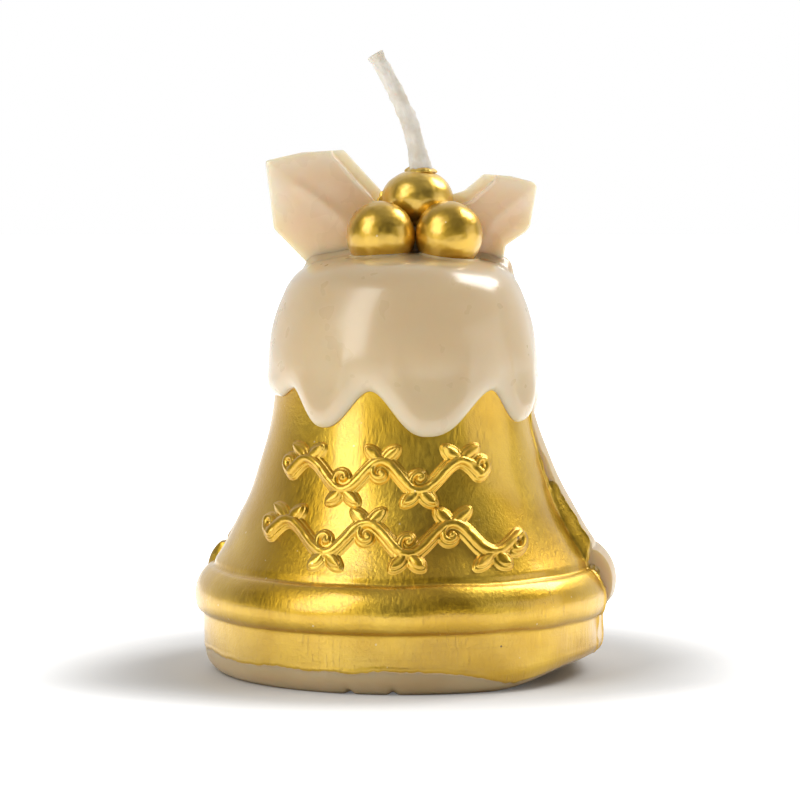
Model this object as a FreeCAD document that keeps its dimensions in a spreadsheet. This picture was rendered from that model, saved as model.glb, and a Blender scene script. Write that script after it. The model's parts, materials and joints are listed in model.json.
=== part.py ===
"""Bell-shaped moulded candle with a dripped cap, holly leaves, three berries and a wick.

Frame: +Z up, origin at the centre of the base on the table, the decorated front faces -Y.
All sizes are in millimetres and are driven by the spreadsheet "dims".
Azimuths are in degrees from the front (-Y), positive towards +X.
"""
import FreeCAD, Part
import math
import os

from FreeCAD import Placement, Rotation, Vector

DIMENSIONS = [
    # alias, value, meaning
    ("base_radius", 27.1, "straight band under the belt"),
    ("foot_inset", 2.1, "how far the standing ring lies inside the band"),
    ("edge_height", 2.6, "height of the rounded bottom edge"),
    ("edge_round", 3.0, "radius of the rounded bottom edge"),
    ("band_height", 8.1, "height of the crease under the belt"),
    ("belt_lip", 0.8, "how far the belt's underside steps out"),
    ("belt_lip_rise", 0.4, "rise of the belt's underside"),
    ("belt_height", 6.3, "from the crease under the belt to the crease over it"),
    ("belt_inset", 1.1, "how far the upper crease lies inside the band"),
    ("belt_round", 4.8, "radius of the belt's bulge"),
    ("flare_height", 21.6, "from the belt to the neck"),
    ("flare_round", 50.0, "hollow radius of the bell's flare"),
    ("neck_radius", 17.6, "radius where the flare ends"),
    ("crown_inset", 0.7, "how much the crown's side draws in over the neck"),
    ("crown_side_height", 6.0, "height of the crown's side over the neck"),
    ("crown_height", 17.6, "height of the crown over the neck"),
    ("crown_flat", 8.0, "radius where the crown's shoulder meets its top"),
    ("crown_drop", 0.9, "how far the crown's top falls to its shoulder"),
    ("crown_shoulder", 11.6, "radius of the crown's shoulder"),
    ("seam_right", 74.0, "azimuth of the right mould seam"),
    ("seam_span", 178.0, "degrees of the back half, from the right seam to the left one"),
    ("back_lift", 2.0, "how much higher the back half's belt came out"),
    ("coat_thickness", 0.3, "gold coat"),
    ("coat_bottom", 3.2, "lower edge of the gold coat"),
    ("coat_from", -106.0, "azimuth of the coat's left edge"),
    ("cap_wall", 1.65, "wall of the cap at its side"),
    ("cap_over", 3.8, "wax of the cap over the crown's top"),
    ("skirt_flare", 1.05, "how much wider the skirt is than the cap's side"),
    ("skirt_depth", 6.0, "the skirt is drawn this far under the neck"),
    ("cap_side_rise", 4.5, "height of the cap's widest ring over the neck"),
    ("cap_shoulder_inset", 2.35, "how much the cap draws in up to its shoulder"),
    ("cap_shoulder_drop", 6.1, "from the cap's top down to its shoulder"),
    ("cap_side_round", 26.0, "radius of the cap's side"),
    ("cap_round", 7.0, "radius of the cap's shoulder"),
    ("cap_flat", 11.5, "radius where the cap's rounding meets its top"),
    ("cap_flat_drop", 1.3, "how far the cap's top falls to its rounding"),
    ("edge_rise", 0.2, "mean height of the scalloped edge over the neck"),
    ("edge_wave", 2.6, "half the height of a drip"),
    ("boss_radius", 3.4, "wax boss under the top berry"),
    ("berry_radius", 4.53, "the two front berries"),
    ("berry_seat", 1.7, "height of the front berries' centres over the cap's top"),
    ("berry_shift", -0.4, "x of the line between the front berries, from the wick"),
    ("berry_gap", 0.16, "clearance between the front berries"),
    ("berry_lead", 5.7, "how far the front berries stand before the top one"),
    ("top_berry_radius", 4.85, "half width of the top berry"),
    ("top_berry_half", 4.0, "half height of the top berry"),
    ("top_berry_rise", 5.1, "height of the top berry over the front ones"),
    ("leaf_thickness", 1.8, "holly leaves"),
    ("leaf_behind", 1.3, "how far the leaves' inner ends lie behind the wick"),
    ("leaf_root_drop", 2.0, "the leaves' roots under the cap's top"),
    ("leaf_sink", 1.4, "how deep a root sits under that"),
    ("left_leaf_start", -5.0, "x of the left leaf's inner edge, from the wick"),
    ("left_leaf_width", 16.0, "left leaf across"),
    ("left_leaf_rise", 15.4, "left leaf tall"),
    ("left_leaf_turn", 8.0, "left leaf turned about +Z"),
    ("right_leaf_start", 3.6, "x of the right leaf's inner edge, from the wick"),
    ("right_leaf_width", 12.8, "right leaf across"),
    ("right_leaf_rise", 12.1, "right leaf tall"),
    ("right_leaf_turn", -8.0, "right leaf turned about +Z"),
    ("wick_x", 2.0, "x of the wick"),
    ("wick_y", 2.3, "y of the wick"),
    ("wick_radius", 1.25, "waxed cotton wick"),
    ("wick_fit", 0.05, "radial room around the cast-in wick"),
    ("wick_swing_room", 0.2, "radial room around the wick's bending root"),
    ("bend_rise", 1.1, "height of the wick's bend over the top berry"),
    ("bend_gap", 0.2, "gap under the wick's bending root"),
    ("tip_reach", -5.85, "x of the wick's end, from its bend"),
    ("tip_rise", 14.3, "height of the wick's end over its bend"),
    ("tip_lean", 8.0, "lean of the wick where it leaves the berry, degrees"),
    ("collar_radius", 2.2, "gold pool around the wick"),
    ("collar_depth", 1.0, "how far the pool's foot lies under the top berry's top"),
    ("collar_below_bend", 0.6, "how far the pool's top stays under the bend"),
    ("plug_radius", 7.5, "wax plug in the base"),
    ("plug_height", 1.0, "thickness of the wax plug"),
    ("tab_radius", 6.25, "wick sustainer's disc"),
    ("tab_thickness", 0.4, "sheet of the sustainer"),
    ("tab_neck_wall", 0.45, "wall of the sustainer's neck"),
    ("tab_neck_height", 5.0, "neck of the sustainer"),
    ("relief_height", 0.8, "height of the vine relief over the coat"),
    ("relief_stroke", 1.5, "width of the vines' stems"),
    ("relief_turn", -6.0, "azimuth of the relief's middle"),
    ("vine_swing", 1.9, "half height of a vine's wave"),
    ("vine_leaf", 3.0, "length of a vine's leaves"),
    ("vine_bud", 0.75, "radius of the bud in each hollow"),
    ("upper_vine_rise", 13.4, "middle of the upper vine over the belt"),
    ("upper_vine_chord", 5.0, "half wave of the upper vine"),
    ("upper_vine_shift", -0.8, "sideways place of the upper vine"),
    ("lower_vine_rise", 5.4, "middle of the lower vine over the belt"),
    ("lower_vine_chord", 5.4, "half wave of the lower vine"),
    ("lower_vine_shift", 0.4, "sideways place of the lower vine"),
]

UPPER_VINE_WAVES = 5
LOWER_VINE_WAVES = 6
LEAF_SLIMNESS = 0.4  # a vine leaf's width over its length
LEAF_LEANS = (38, 142)  # degrees of the two leaves on each crest, from level

# Heights of the cap's edge around the candle, as (azimuth, share of edge_wave about edge_mean).
SCALLOPS = [(-69, 0.55), (-55, 1.05), (-35.5, -0.85), (-14.5, 1.05), (10, -1.25), (42, 1.0),
            (58, -0.7), (82, 0.6), (115, -1.0), (141, 0.9), (168, -1.2), (196, 0.95), (222, -0.8),
            (247, 0.95), (268, 0.8)]

# Leaf outlines from the inner root round the tip, as shares of the leaf's width and rise.
LEFT_LEAF = [(0, 0), (-0.56, 0), (-0.925, 0.30), (-0.97, 0.64), (-1.0, 0.90), (-0.69, 0.975),
             (-0.325, 1.0), (0, 0.64)]
RIGHT_LEAF = [(0, 0), (0, 0.74), (0.22, 0.81), (0.43, 1.0), (0.72, 0.975), (0.96, 0.91), (1.0, 0.86),
              (0.93, 0.41), (0.88, 0.34), (0.67, 0.19), (0.62, 0)]


class Size:
    """A number together with the spreadsheet expression that gives it."""

    def __init__(self, value, text):
        self.value, self.text = value, text

    def __add__(self, other):
        return Size(self.value + size(other).value, f"({self.text} + {size(other).text})")

    def __sub__(self, other):
        return Size(self.value - size(other).value, f"({self.text} - {size(other).text})")

    def __mul__(self, other):
        return Size(self.value * size(other).value, f"({self.text} * {size(other).text})")

    def __truediv__(self, other):
        return Size(self.value / size(other).value, f"({self.text} / {size(other).text})")


def size(number):
    """A plain number as a Size, and a Size as it is."""
    return number if isinstance(number, Size) else Size(float(number), repr(float(number)))


doc = FreeCAD.newDocument("bell_candle")
sheet = doc.addObject("Spreadsheet::Sheet", "dims")
for row, (alias, number, meaning) in enumerate(DIMENSIONS, start=1):
    sheet.set(f"A{row}", meaning)
    sheet.set(f"B{row}", str(number))
    sheet.setAlias(f"B{row}", alias)
doc.recompute()
D = {alias: Size(float(getattr(sheet, alias)), f"dims.{alias}") for alias, _, _ in DIMENSIONS}


def dome_radius(flat, drop):
    """Radius of a spherical top that falls by drop over the radius flat."""
    return (flat * flat + drop * drop) / (drop * 2)


# Heights over the table and radii that follow from the sizes above.
FOOT_RADIUS = D["base_radius"] - D["foot_inset"]
BELT_BOTTOM = D["band_height"]
BELT_TOP = BELT_BOTTOM + D["belt_height"]
BELT_TOP_RADIUS = D["base_radius"] - D["belt_inset"]
NECK = BELT_TOP + D["flare_height"]
CROWN_RADIUS = D["neck_radius"] - D["crown_inset"]
CROWN_SIDE = NECK + D["crown_side_height"]
CROWN_TOP = NECK + D["crown_height"]
CAP_TOP = CROWN_TOP + D["cap_over"]
CAP_RADIUS = CROWN_RADIUS + D["cap_wall"]
SKIRT_RADIUS = CAP_RADIUS + D["skirt_flare"]
SKIRT_BOTTOM = NECK - D["skirt_depth"]
BERRY_HEIGHT = CAP_TOP + D["berry_seat"]
TOP_BERRY_HEIGHT = BERRY_HEIGHT + D["top_berry_rise"]
LEAF_ROOT = CAP_TOP - D["leaf_root_drop"]
BEND = TOP_BERRY_HEIGHT + D["top_berry_half"] + D["bend_rise"]
CORE_TOP = BEND - D["wick_radius"] - D["bend_gap"]
TAB_TOP = D["plug_height"] + D["tab_thickness"]
TAB_BORE = D["wick_radius"] + D["wick_fit"]
TAB_NECK_RADIUS = TAB_BORE + D["tab_neck_wall"]
WICK_AXIS = (D["wick_x"], D["wick_y"])
ZERO = size(0)


def bind(item, prop, dimension):
    """Tie one property of an object to the spreadsheet."""
    item.setExpression(prop, size(dimension).text)


def place(item, x, y, z):
    """Tie an object's position to the spreadsheet."""
    for letter, distance in zip("xyz", (x, y, z)):
        bind(item, f"Placement.Base.{letter}", distance)


def heading(azimuth):
    """Unit vector that points away from the axis at an azimuth."""
    turn = math.radians(azimuth)
    return Vector(math.sin(turn), -math.cos(turn), 0)


# ---------------------------------------------------------------- sketches and bodies

def draw_profile(sketch, vertices, arcs=()):
    """Closed outline through the vertices; arcs maps an edge's index to (radius, bulge side)."""
    arcs = dict(arcs)
    points = [Vector(x.value, y.value, 0) for x, y in vertices]
    ends = []
    for i, start in enumerate(points):
        finish = points[(i + 1) % len(points)]
        if i in arcs:
            radius, side = arcs[i]
            chord = finish - start
            normal = Vector(-chord.y, chord.x, 0).normalize() * side
            sagitta = radius.value - math.sqrt(radius.value ** 2 - chord.Length ** 2 / 4)
            middle = (start + finish) / 2 + normal * sagitta
            first, last = (start, finish) if side < 0 else (finish, start)
            edge = sketch.addGeometry(Part.Arc(first, middle, last))
            ends.append((edge, 1, 2) if side < 0 else (edge, 2, 1))
        else:
            ends.append((sketch.addGeometry(Part.LineSegment(start, finish)), 1, 2))
    from Sketcher import Constraint
    for i, (edge, first, last) in enumerate(ends):
        after = ends[(i + 1) % len(ends)]
        sketch.addConstraint(Constraint("Coincident", edge, last, after[0], after[1]))
        for letter, kind, along, axis in (("x", "DistanceX", vertices[i][0], -2),
                                          ("y", "DistanceY", vertices[i][1], -1)):
            if along.value == 0:
                sketch.addConstraint(Constraint("PointOnObject", edge, first, axis))
                continue
            rule = sketch.addConstraint(Constraint(kind, -1, 1, edge, first, along.value))
            sketch.renameConstraint(rule, f"{letter}{i}")
            bind(sketch, f"Constraints.{letter}{i}", along)
        if i in arcs:
            rule = sketch.addConstraint(Constraint("Radius", edge, arcs[i][0].value))
            sketch.renameConstraint(rule, f"round{i}")
            bind(sketch, f"Constraints.round{i}", arcs[i][0])


def new_body(label):
    body = doc.addObject("PartDesign::Body", label)
    body.Label = label
    return body


def new_sketch(body, name, role):
    """A sketch on one of the body's own origin planes."""
    sketch = body.newObject("Sketcher::SketchObject", name)
    plane = [item for item in body.Origin.OriginFeatures if item.Role == role][0]
    sketch.AttachmentSupport = [(plane, "")]
    sketch.MapMode = "FlatFace"
    return sketch


def turned(body, sketch, name, angle=None, symmetric=False):
    """Revolve a sketch about its own vertical axis, all the way round when no angle is given."""
    feature = body.newObject("PartDesign::Revolution", name)
    feature.Profile = sketch
    feature.ReferenceAxis = (sketch, ["V_Axis"])
    feature.Midplane = symmetric
    if angle is None:
        feature.Angle = 360
    else:
        bind(feature, "Angle", angle)
    return feature


def drilled(body, name, centre, radius, depth=None):
    """A round hole upwards from the base, right through when no depth is given."""
    sketch = new_sketch(body, f"{name}_circle", "XY_Plane")
    draw_circle(sketch, centre, radius)
    pocket = body.newObject("PartDesign::Pocket", name)
    pocket.Profile = sketch
    pocket.Reversed = True
    if depth is None:
        pocket.Type = "ThroughAll"
    else:
        bind(pocket, "Length", depth)
    return pocket


def draw_circle(sketch, centre, radius):
    from Sketcher import Constraint
    spot = Vector(centre[0].value, centre[1].value, 0)
    circle = sketch.addGeometry(Part.Circle(spot, Vector(0, 0, 1), radius.value))
    rules = (("x0", Constraint("DistanceX", -1, 1, circle, 3, spot.x), centre[0]),
             ("y0", Constraint("DistanceY", -1, 1, circle, 3, spot.y), centre[1]),
             ("r0", Constraint("Radius", circle, radius.value), radius))
    for name, rule, dimension in rules:
        sketch.renameConstraint(sketch.addConstraint(rule), name)
        bind(sketch, f"Constraints.{name}", dimension)


def side_profile(grow):
    """The casting's outside from the belt's underside to the crown's side, pushed out by grow."""
    return [
        (D["base_radius"] + grow, BELT_BOTTOM),
        (D["base_radius"] + D["belt_lip"] + grow, BELT_BOTTOM + D["belt_lip_rise"]),
        (BELT_TOP_RADIUS + grow, BELT_TOP),
        (D["neck_radius"] + grow, NECK),
        (CROWN_RADIUS + grow, CROWN_SIDE),
    ]


def make_bell_body():
    """Ivory wax casting: base, belt, flare and crown, bored for the wick."""
    body = new_body("bell_body")
    sketch = new_sketch(body, "bell_outline", "XZ_Plane")
    vertices = [(ZERO, ZERO), (FOOT_RADIUS, ZERO), (D["base_radius"], D["edge_height"])]
    vertices += side_profile(0)
    vertices += [(D["crown_flat"], CROWN_TOP - D["crown_drop"]), (ZERO, CROWN_TOP)]
    arcs = {1: (D["edge_round"], -1), 4: (D["belt_round"], -1), 5: (D["flare_round"], 1),
            7: (D["crown_shoulder"], -1), 8: (dome_radius(D["crown_flat"], D["crown_drop"]), -1)}
    draw_profile(sketch, vertices, arcs)
    turned(body, sketch, "bell_turned")

    back = new_sketch(body, "back_belt_outline", "XZ_Plane")
    middle = D["seam_right"] + D["seam_span"] * 0.5 - 90
    back.AttachmentOffset = Placement(Vector(), Rotation(Vector(0, 1, 0), middle.value))
    bind(back, "AttachmentOffset.Rotation.Angle", middle)
    low, lip, high = [(x, y + D["back_lift"]) for x, y in side_profile(0)[:3]]
    draw_profile(back, [(D["neck_radius"], low[1]), low, lip, high, (D["neck_radius"], high[1])],
                 {2: (D["belt_round"], -1)})
    turned(body, back, "back_belt", D["seam_span"], symmetric=True)

    drilled(body, "wick_bore", WICK_AXIS, TAB_BORE)
    drilled(body, "neck_bore", WICK_AXIS, TAB_NECK_RADIUS, TAB_TOP + D["tab_neck_height"])
    drilled(body, "tab_recess", WICK_AXIS, D["tab_radius"], TAB_TOP)
    drilled(body, "plug_recess", WICK_AXIS, D["plug_radius"], D["plug_height"])
    return body


def make_sustainer():
    """Pressed steel tab that holds the wick at the base."""
    body = new_body("wick_sustainer")
    sketch = new_sketch(body, "sustainer_outline", "XZ_Plane")
    draw_profile(sketch, [(TAB_BORE, D["plug_height"]), (D["tab_radius"], D["plug_height"]),
                          (D["tab_radius"], TAB_TOP), (TAB_NECK_RADIUS, TAB_TOP),
                          (TAB_NECK_RADIUS, TAB_TOP + D["tab_neck_height"]),
                          (TAB_BORE, TAB_TOP + D["tab_neck_height"])])
    turned(body, sketch, "sustainer_turned")
    place(body, *WICK_AXIS, ZERO)
    return body


def cylinder(label, radius, bottom, height):
    """Upright round bar on the wick's axis."""
    bar = doc.addObject("Part::Cylinder", label)
    bar.Label = label
    bind(bar, "Radius", radius)
    bind(bar, "Height", height)
    place(bar, *WICK_AXIS, bottom)
    return bar


def cut(label, base, tools):
    """Take each tool away from the base, one after another."""
    for number, tool in enumerate(tools):
        last = number == len(tools) - 1
        step = doc.addObject("Part::Cut", label if last else f"{label}_step{number}")
        step.Base, step.Tool = base, tool
        base = step
    base.Label = label
    return base


def make_coat_blank(name, start, span):
    """Solid of revolution out to the coat's face, from azimuth start over span degrees."""
    sketch = doc.addObject("Sketcher::SketchObject", f"{name}_outline")
    sketch.Placement = Placement(Vector(), Rotation(Vector(1, 0, 0), 90))
    outside = side_profile(D["coat_thickness"])
    core = D["crown_flat"]
    vertices = [(core, D["coat_bottom"]), (outside[0][0], D["coat_bottom"])] + outside
    vertices.append((core, CROWN_SIDE))
    draw_profile(sketch, vertices, {3: (D["belt_round"], -1), 4: (D["flare_round"], 1)})
    blank = doc.addObject("Part::Revolution", name)
    blank.Source = sketch
    blank.Axis = Vector(0, 0, 1)
    blank.Solid = True
    bind(blank, "Angle", span)
    blank.Placement = Placement(Vector(), Rotation(Vector(0, 0, 1), (size(start) - 90).value))
    bind(blank, "Placement.Rotation.Angle", size(start) - 90)
    return blank


# ---------------------------------------------------------------- cap, leaves and berries

def feature(label, shape):
    """A sub-part whose shape is worked out here from the named sizes."""
    item = doc.addObject("Part::Feature", label)
    item.Label = label
    item.Shape = shape
    return item


def arc_by_radius(start, finish, radius, side):
    """Arc edge between two points of the XZ plane, bulging to one side of its chord."""
    chord = finish - start
    normal = Vector(-chord.z, 0, chord.x).normalize() * side
    sagitta = radius - math.sqrt(radius ** 2 - chord.Length ** 2 / 4)
    return Part.Arc(start, (start + finish) / 2 + normal * sagitta, finish).toShape()


def cap_blank_shape():
    """The cap's outside with the boss under the top berry, before its edge and seats are cut."""
    def at(radius, height):
        return Vector(radius.value, 0, height.value)

    bottom = at(SKIRT_RADIUS, SKIRT_BOTTOM)
    side = at(CAP_RADIUS, NECK + D["cap_side_rise"])
    shoulder = at(CAP_RADIUS - D["cap_shoulder_inset"], CAP_TOP - D["cap_shoulder_drop"])
    flat = at(D["cap_flat"], CAP_TOP - D["cap_flat_drop"])
    top = at(ZERO, CAP_TOP)
    edges = [
        Part.LineSegment(at(ZERO, SKIRT_BOTTOM), bottom).toShape(),
        Part.LineSegment(bottom, side).toShape(),
        arc_by_radius(side, shoulder, D["cap_side_round"].value, -1),
        arc_by_radius(shoulder, flat, D["cap_round"].value, -1),
        arc_by_radius(flat, top, dome_radius(D["cap_flat"], D["cap_flat_drop"]).value, -1),
        Part.LineSegment(top, at(ZERO, SKIRT_BOTTOM)).toShape(),
    ]
    dome = Part.Face(Part.Wire(edges)).revolve(Vector(), Vector(0, 0, 1), 360)
    foot = Vector(D["wick_x"].value, D["wick_y"].value, side.z)
    boss = Part.makeCylinder(D["boss_radius"].value, TOP_BERRY_HEIGHT.value - foot.z, foot)
    return dome.fuse(boss)


def scallop_cutter_shape():
    """Everything under the cap's scalloped edge: a ruled sheet closed into a solid."""
    mean = NECK + D["edge_rise"]
    base = (mean - D["edge_wave"] * 4).value
    edge_rings, base_rings = [], []
    for radius in (D["crown_flat"].value, 1.3 * SKIRT_RADIUS.value):
        points = [heading(turn) * radius + Vector(0, 0, (mean + D["edge_wave"] * share).value)
                  for turn, share in SCALLOPS]
        ring = Part.BSplineCurve()
        ring.interpolate(points, PeriodicFlag=True)
        edge_rings.append(ring.toShape())
        circle = Part.Circle(Vector(0, 0, base), Vector(0, 0, 1), radius).toShape()
        circle.rotate(Vector(), Vector(0, 0, 1), SCALLOPS[0][0] - 90)
        base_rings.append(circle)
    faces = [Part.makeRuledSurface(*edge_rings), Part.makeRuledSurface(*base_rings)]
    faces += [Part.makeRuledSurface(low, high) for low, high in zip(base_rings, edge_rings)]
    shell = Part.makeShell(faces)
    shell.sewShape()
    solid = Part.makeSolid(shell)
    solid.fix(1e-4, 1e-4, 1e-4)
    if solid.Volume < 0:
        solid.reverse()
    return solid


def make_leaf(label, side, outline):
    """Flat holly leaf that stands on its root; side is left or right."""
    body = new_body(f"{label}_blank")
    sketch = new_sketch(body, f"{label}_outline", "XZ_Plane")
    width, rise = D[f"{side}_leaf_width"], D[f"{side}_leaf_rise"]
    vertices = [(width * across if across else ZERO, rise * up if up else ZERO - D["leaf_sink"])
                for across, up in outline]
    draw_profile(sketch, vertices)
    pad = body.newObject("PartDesign::Pad", f"{label}_pad")
    pad.Profile = sketch
    pad.Midplane = True
    bind(pad, "Length", D["leaf_thickness"])
    turn = D[f"{side}_leaf_turn"]
    body.Placement = Placement(Vector(), Rotation(Vector(0, 0, 1), turn.value))
    bind(body, "Placement.Rotation.Angle", turn)
    place(body, D["wick_x"] + D[f"{side}_leaf_start"], D["wick_y"] + D["leaf_behind"], LEAF_ROOT)
    return body


def make_front_berry(label, side):
    """Front berry, left for side -1 and right for side +1 of the line between them."""
    ball = doc.addObject("Part::Sphere", label)
    ball.Label = label
    bind(ball, "Radius", D["berry_radius"])
    aside = (D["berry_radius"] + D["berry_gap"] * 0.5) * side
    place(ball, D["wick_x"] + D["berry_shift"] + aside, D["wick_y"] - D["berry_lead"], BERRY_HEIGHT)
    return ball


def make_top_berry_blank():
    """Slightly flattened berry over and behind the other two."""
    ball = doc.addObject("Part::Ellipsoid", "top_berry_blank")
    bind(ball, "Radius1", D["top_berry_half"])
    bind(ball, "Radius2", D["top_berry_radius"])
    bind(ball, "Radius3", D["top_berry_radius"])
    place(ball, *WICK_AXIS, TOP_BERRY_HEIGHT)
    return ball


# ---------------------------------------------------------------- wick

def wick_tip_shape():
    """Free end of the wick: a ball root on the bend and a bar along one leaning arc."""
    root = Vector(D["wick_x"].value, D["wick_y"].value, BEND.value)
    end = root + Vector(D["tip_reach"].value, 0, D["tip_rise"].value)
    radius = D["wick_radius"].value
    chord = end - root
    lean = math.radians(D["tip_lean"].value)
    start = Vector(-math.sin(lean), 0, math.cos(lean))
    swing = start.getAngle(chord)
    arc_radius = chord.Length / (2 * math.sin(swing))
    outward = Vector(chord.z, 0, -chord.x).normalize()
    middle = (root + end) / 2 + outward * arc_radius * (1 - math.cos(swing))
    path = Part.Wire([Part.Arc(root, middle, end).toShape()])
    section = Part.Wire([Part.Circle(root, start, radius).toShape()])
    bar = path.makePipeShell([section], True, False)
    return bar.fuse(Part.makeSphere(radius, root)).removeSplitter()


# ---------------------------------------------------------------- vine relief

def stem_wire(start_x, height, chord, count, sagitta):
    """Waved stem: arcs of equal chord that bulge up and down by turns."""
    edges = []
    for number in range(count):
        left = Vector(start_x + number * chord, 0, height)
        right = left + Vector(chord, 0, 0)
        bulge = sagitta if number % 2 == 0 else -sagitta
        edges.append(Part.Arc(left, (left + right) / 2 + Vector(0, 0, bulge), right).toShape())
    return Part.Wire(edges)


def lens_face(tip, length, width, turn):
    """Pointed oval leaf from its stalk point, turned in the XZ plane."""
    half = Vector(length / 2, 0, 0)
    side = Vector(0, 0, width / 2)
    edges = [Part.Arc(Vector(), half + side, half * 2).toShape(),
             Part.Arc(half * 2, half - side, Vector()).toShape()]
    face = Part.Face(Part.Wire(edges))
    face.rotate(Vector(), Vector(0, -1, 0), turn)
    face.translate(tip)
    return face


def vine_shape(row, count):
    """One row of the relief: a waved stem with two leaves on each crest and a bud in each hollow."""
    chord, stroke = D[f"{row}_vine_chord"].value, D["relief_stroke"].value
    swing, leaf = D["vine_swing"].value, D["vine_leaf"].value
    height = (BELT_TOP + D[f"{row}_vine_rise"]).value
    start_x = D[f"{row}_vine_shift"].value - chord * count / 2
    wire = stem_wire(start_x, height, chord, count, swing)
    faces = [wire.makeOffset2D(stroke / 2, 0, True, False, False)]
    for number in range(count):
        up = 1 if number % 2 == 0 else -1
        crest = Vector(start_x + (number + 0.5) * chord, 0, height + up * (swing - stroke / 4))
        bud = Part.Circle(crest - Vector(0, 0, up * swing), Vector(0, 1, 0), D["vine_bud"].value)
        faces.append(Part.Face(Part.Wire(bud.toShape())))
        faces.append(lens_face(crest, swing * 1.2, LEAF_SLIMNESS * leaf, -up * 90))
        faces += [lens_face(crest, leaf, LEAF_SLIMNESS * leaf, up * lean) for lean in LEAF_LEANS]
    reach = D["base_radius"].value + 3 * D["relief_height"].value
    bars = [face.extrude(Vector(0, -reach, 0)) for face in faces]
    vine = bars[0].fuse(bars[1:]).removeSplitter()
    vine.rotate(Vector(), Vector(0, 0, 1), D["relief_turn"].value)
    return vine


def flare_shell_shape(inner, outer):
    """Hollow flare between two distances outside the casting."""
    def ring(grow):
        low = Vector((BELT_TOP_RADIUS + grow).value, 0, BELT_TOP.value)
        high = Vector((D["neck_radius"] + grow).value, 0, NECK.value)
        return low, high, arc_by_radius(low, high, D["flare_round"].value, 1)

    low_in, high_in, face_in = ring(inner)
    low_out, high_out, face_out = ring(outer)
    outline = Part.Wire([face_in, Part.LineSegment(high_in, high_out).toShape(), face_out,
                         Part.LineSegment(low_out, low_in).toShape()])
    return Part.Face(outline).revolve(Vector(), Vector(0, 0, 1), 360)


# ---------------------------------------------------------------- the whole candle

bell_body = make_bell_body()
sustainer = make_sustainer()
base_plug = cylinder("base_plug", D["plug_radius"], ZERO, D["plug_height"])
coat_blank = make_coat_blank("coat_blank", D["coat_from"], D["seam_right"] - D["coat_from"])
coat_room = make_coat_blank("coat_room", ZERO, size(360))
berry_left = make_front_berry("berry_left", -1)
berry_right = make_front_berry("berry_right", 1)
top_blank = make_top_berry_blank()
left_blank = make_leaf("leaf_left", "left", LEFT_LEAF)
right_blank = make_leaf("leaf_right", "right", RIGHT_LEAF)
doc.recompute()

cap_blank = feature("cap_blank", cap_blank_shape())
scallop_cutter = feature("scallop_cutter", scallop_cutter_shape())
snug_bore = cylinder("snug_bore", TAB_BORE, ZERO, BEND)
swing_bore = cylinder("swing_bore", D["wick_radius"] + D["wick_swing_room"],
                      CORE_TOP - D["bend_gap"], D["top_berry_half"] * 2)

gold_coat = cut("gold_coat", coat_blank, [bell_body])
snow_cap = cut("snow_cap", cap_blank, [scallop_cutter, bell_body, coat_room, snug_bore, top_blank,
                                       berry_left, berry_right, left_blank, right_blank])
leaf_left = cut("leaf_left", left_blank, [top_blank, berry_left, snug_bore])
leaf_right = cut("leaf_right", right_blank, [top_blank, berry_right, snug_bore])
berry_top = cut("berry_top", top_blank, [berry_left, berry_right, snug_bore, swing_bore])

collar_bottom = BEND - D["bend_rise"] - D["collar_depth"]
collar_blank = cylinder("collar_blank", D["collar_radius"], collar_bottom,
                        BEND - D["collar_below_bend"] - collar_bottom)
wick_collar = cut("wick_collar", collar_blank, [top_blank, swing_bore])
wick_core = cylinder("wick_core", D["wick_radius"], D["plug_height"], CORE_TOP - D["plug_height"])
wick_tip = feature("wick_tip", wick_tip_shape())

relief_shell = flare_shell_shape(D["coat_thickness"], D["coat_thickness"] + D["relief_height"])
vine_upper = feature("vine_upper", vine_shape("upper", UPPER_VINE_WAVES).common(relief_shell))
vine_lower = feature("vine_lower", vine_shape("lower", LOWER_VINE_WAVES).common(relief_shell))
doc.recompute()

PARTS = [bell_body, sustainer, base_plug, gold_coat, vine_upper, vine_lower, snow_cap, leaf_left,
         leaf_right, berry_left, berry_right, berry_top, wick_collar, wick_core, wick_tip]

for item in doc.Objects:
    if "Invalid" in item.State or "Error" in item.State:
        raise RuntimeError(f"{item.Name} failed to build: {item.State}")
os.makedirs("parts", exist_ok=True)
for item in PARTS:
    if item.Shape.isNull() or not item.Shape.isValid():
        raise RuntimeError(f"{item.Label} has no valid shape")
    item.Shape.exportStep(f"parts/{item.Label}.step")
    print(f"{item.Label}: {len(item.Shape.Solids)} solid, {item.Shape.Volume:.1f} mm3")
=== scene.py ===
"""Looks of the bell candle: wax casting, gold paint, poured cap, holly leaves, berries and wick.

The frame is in metres. Shapes here are worked out in millimetres and scaled once, when a mesh is
made. Azimuths are degrees from the front (-Y), positive towards +X.
"""
import json
import logging
import math
from dataclasses import dataclass
from enum import Enum
from typing import Callable, Sequence

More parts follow.
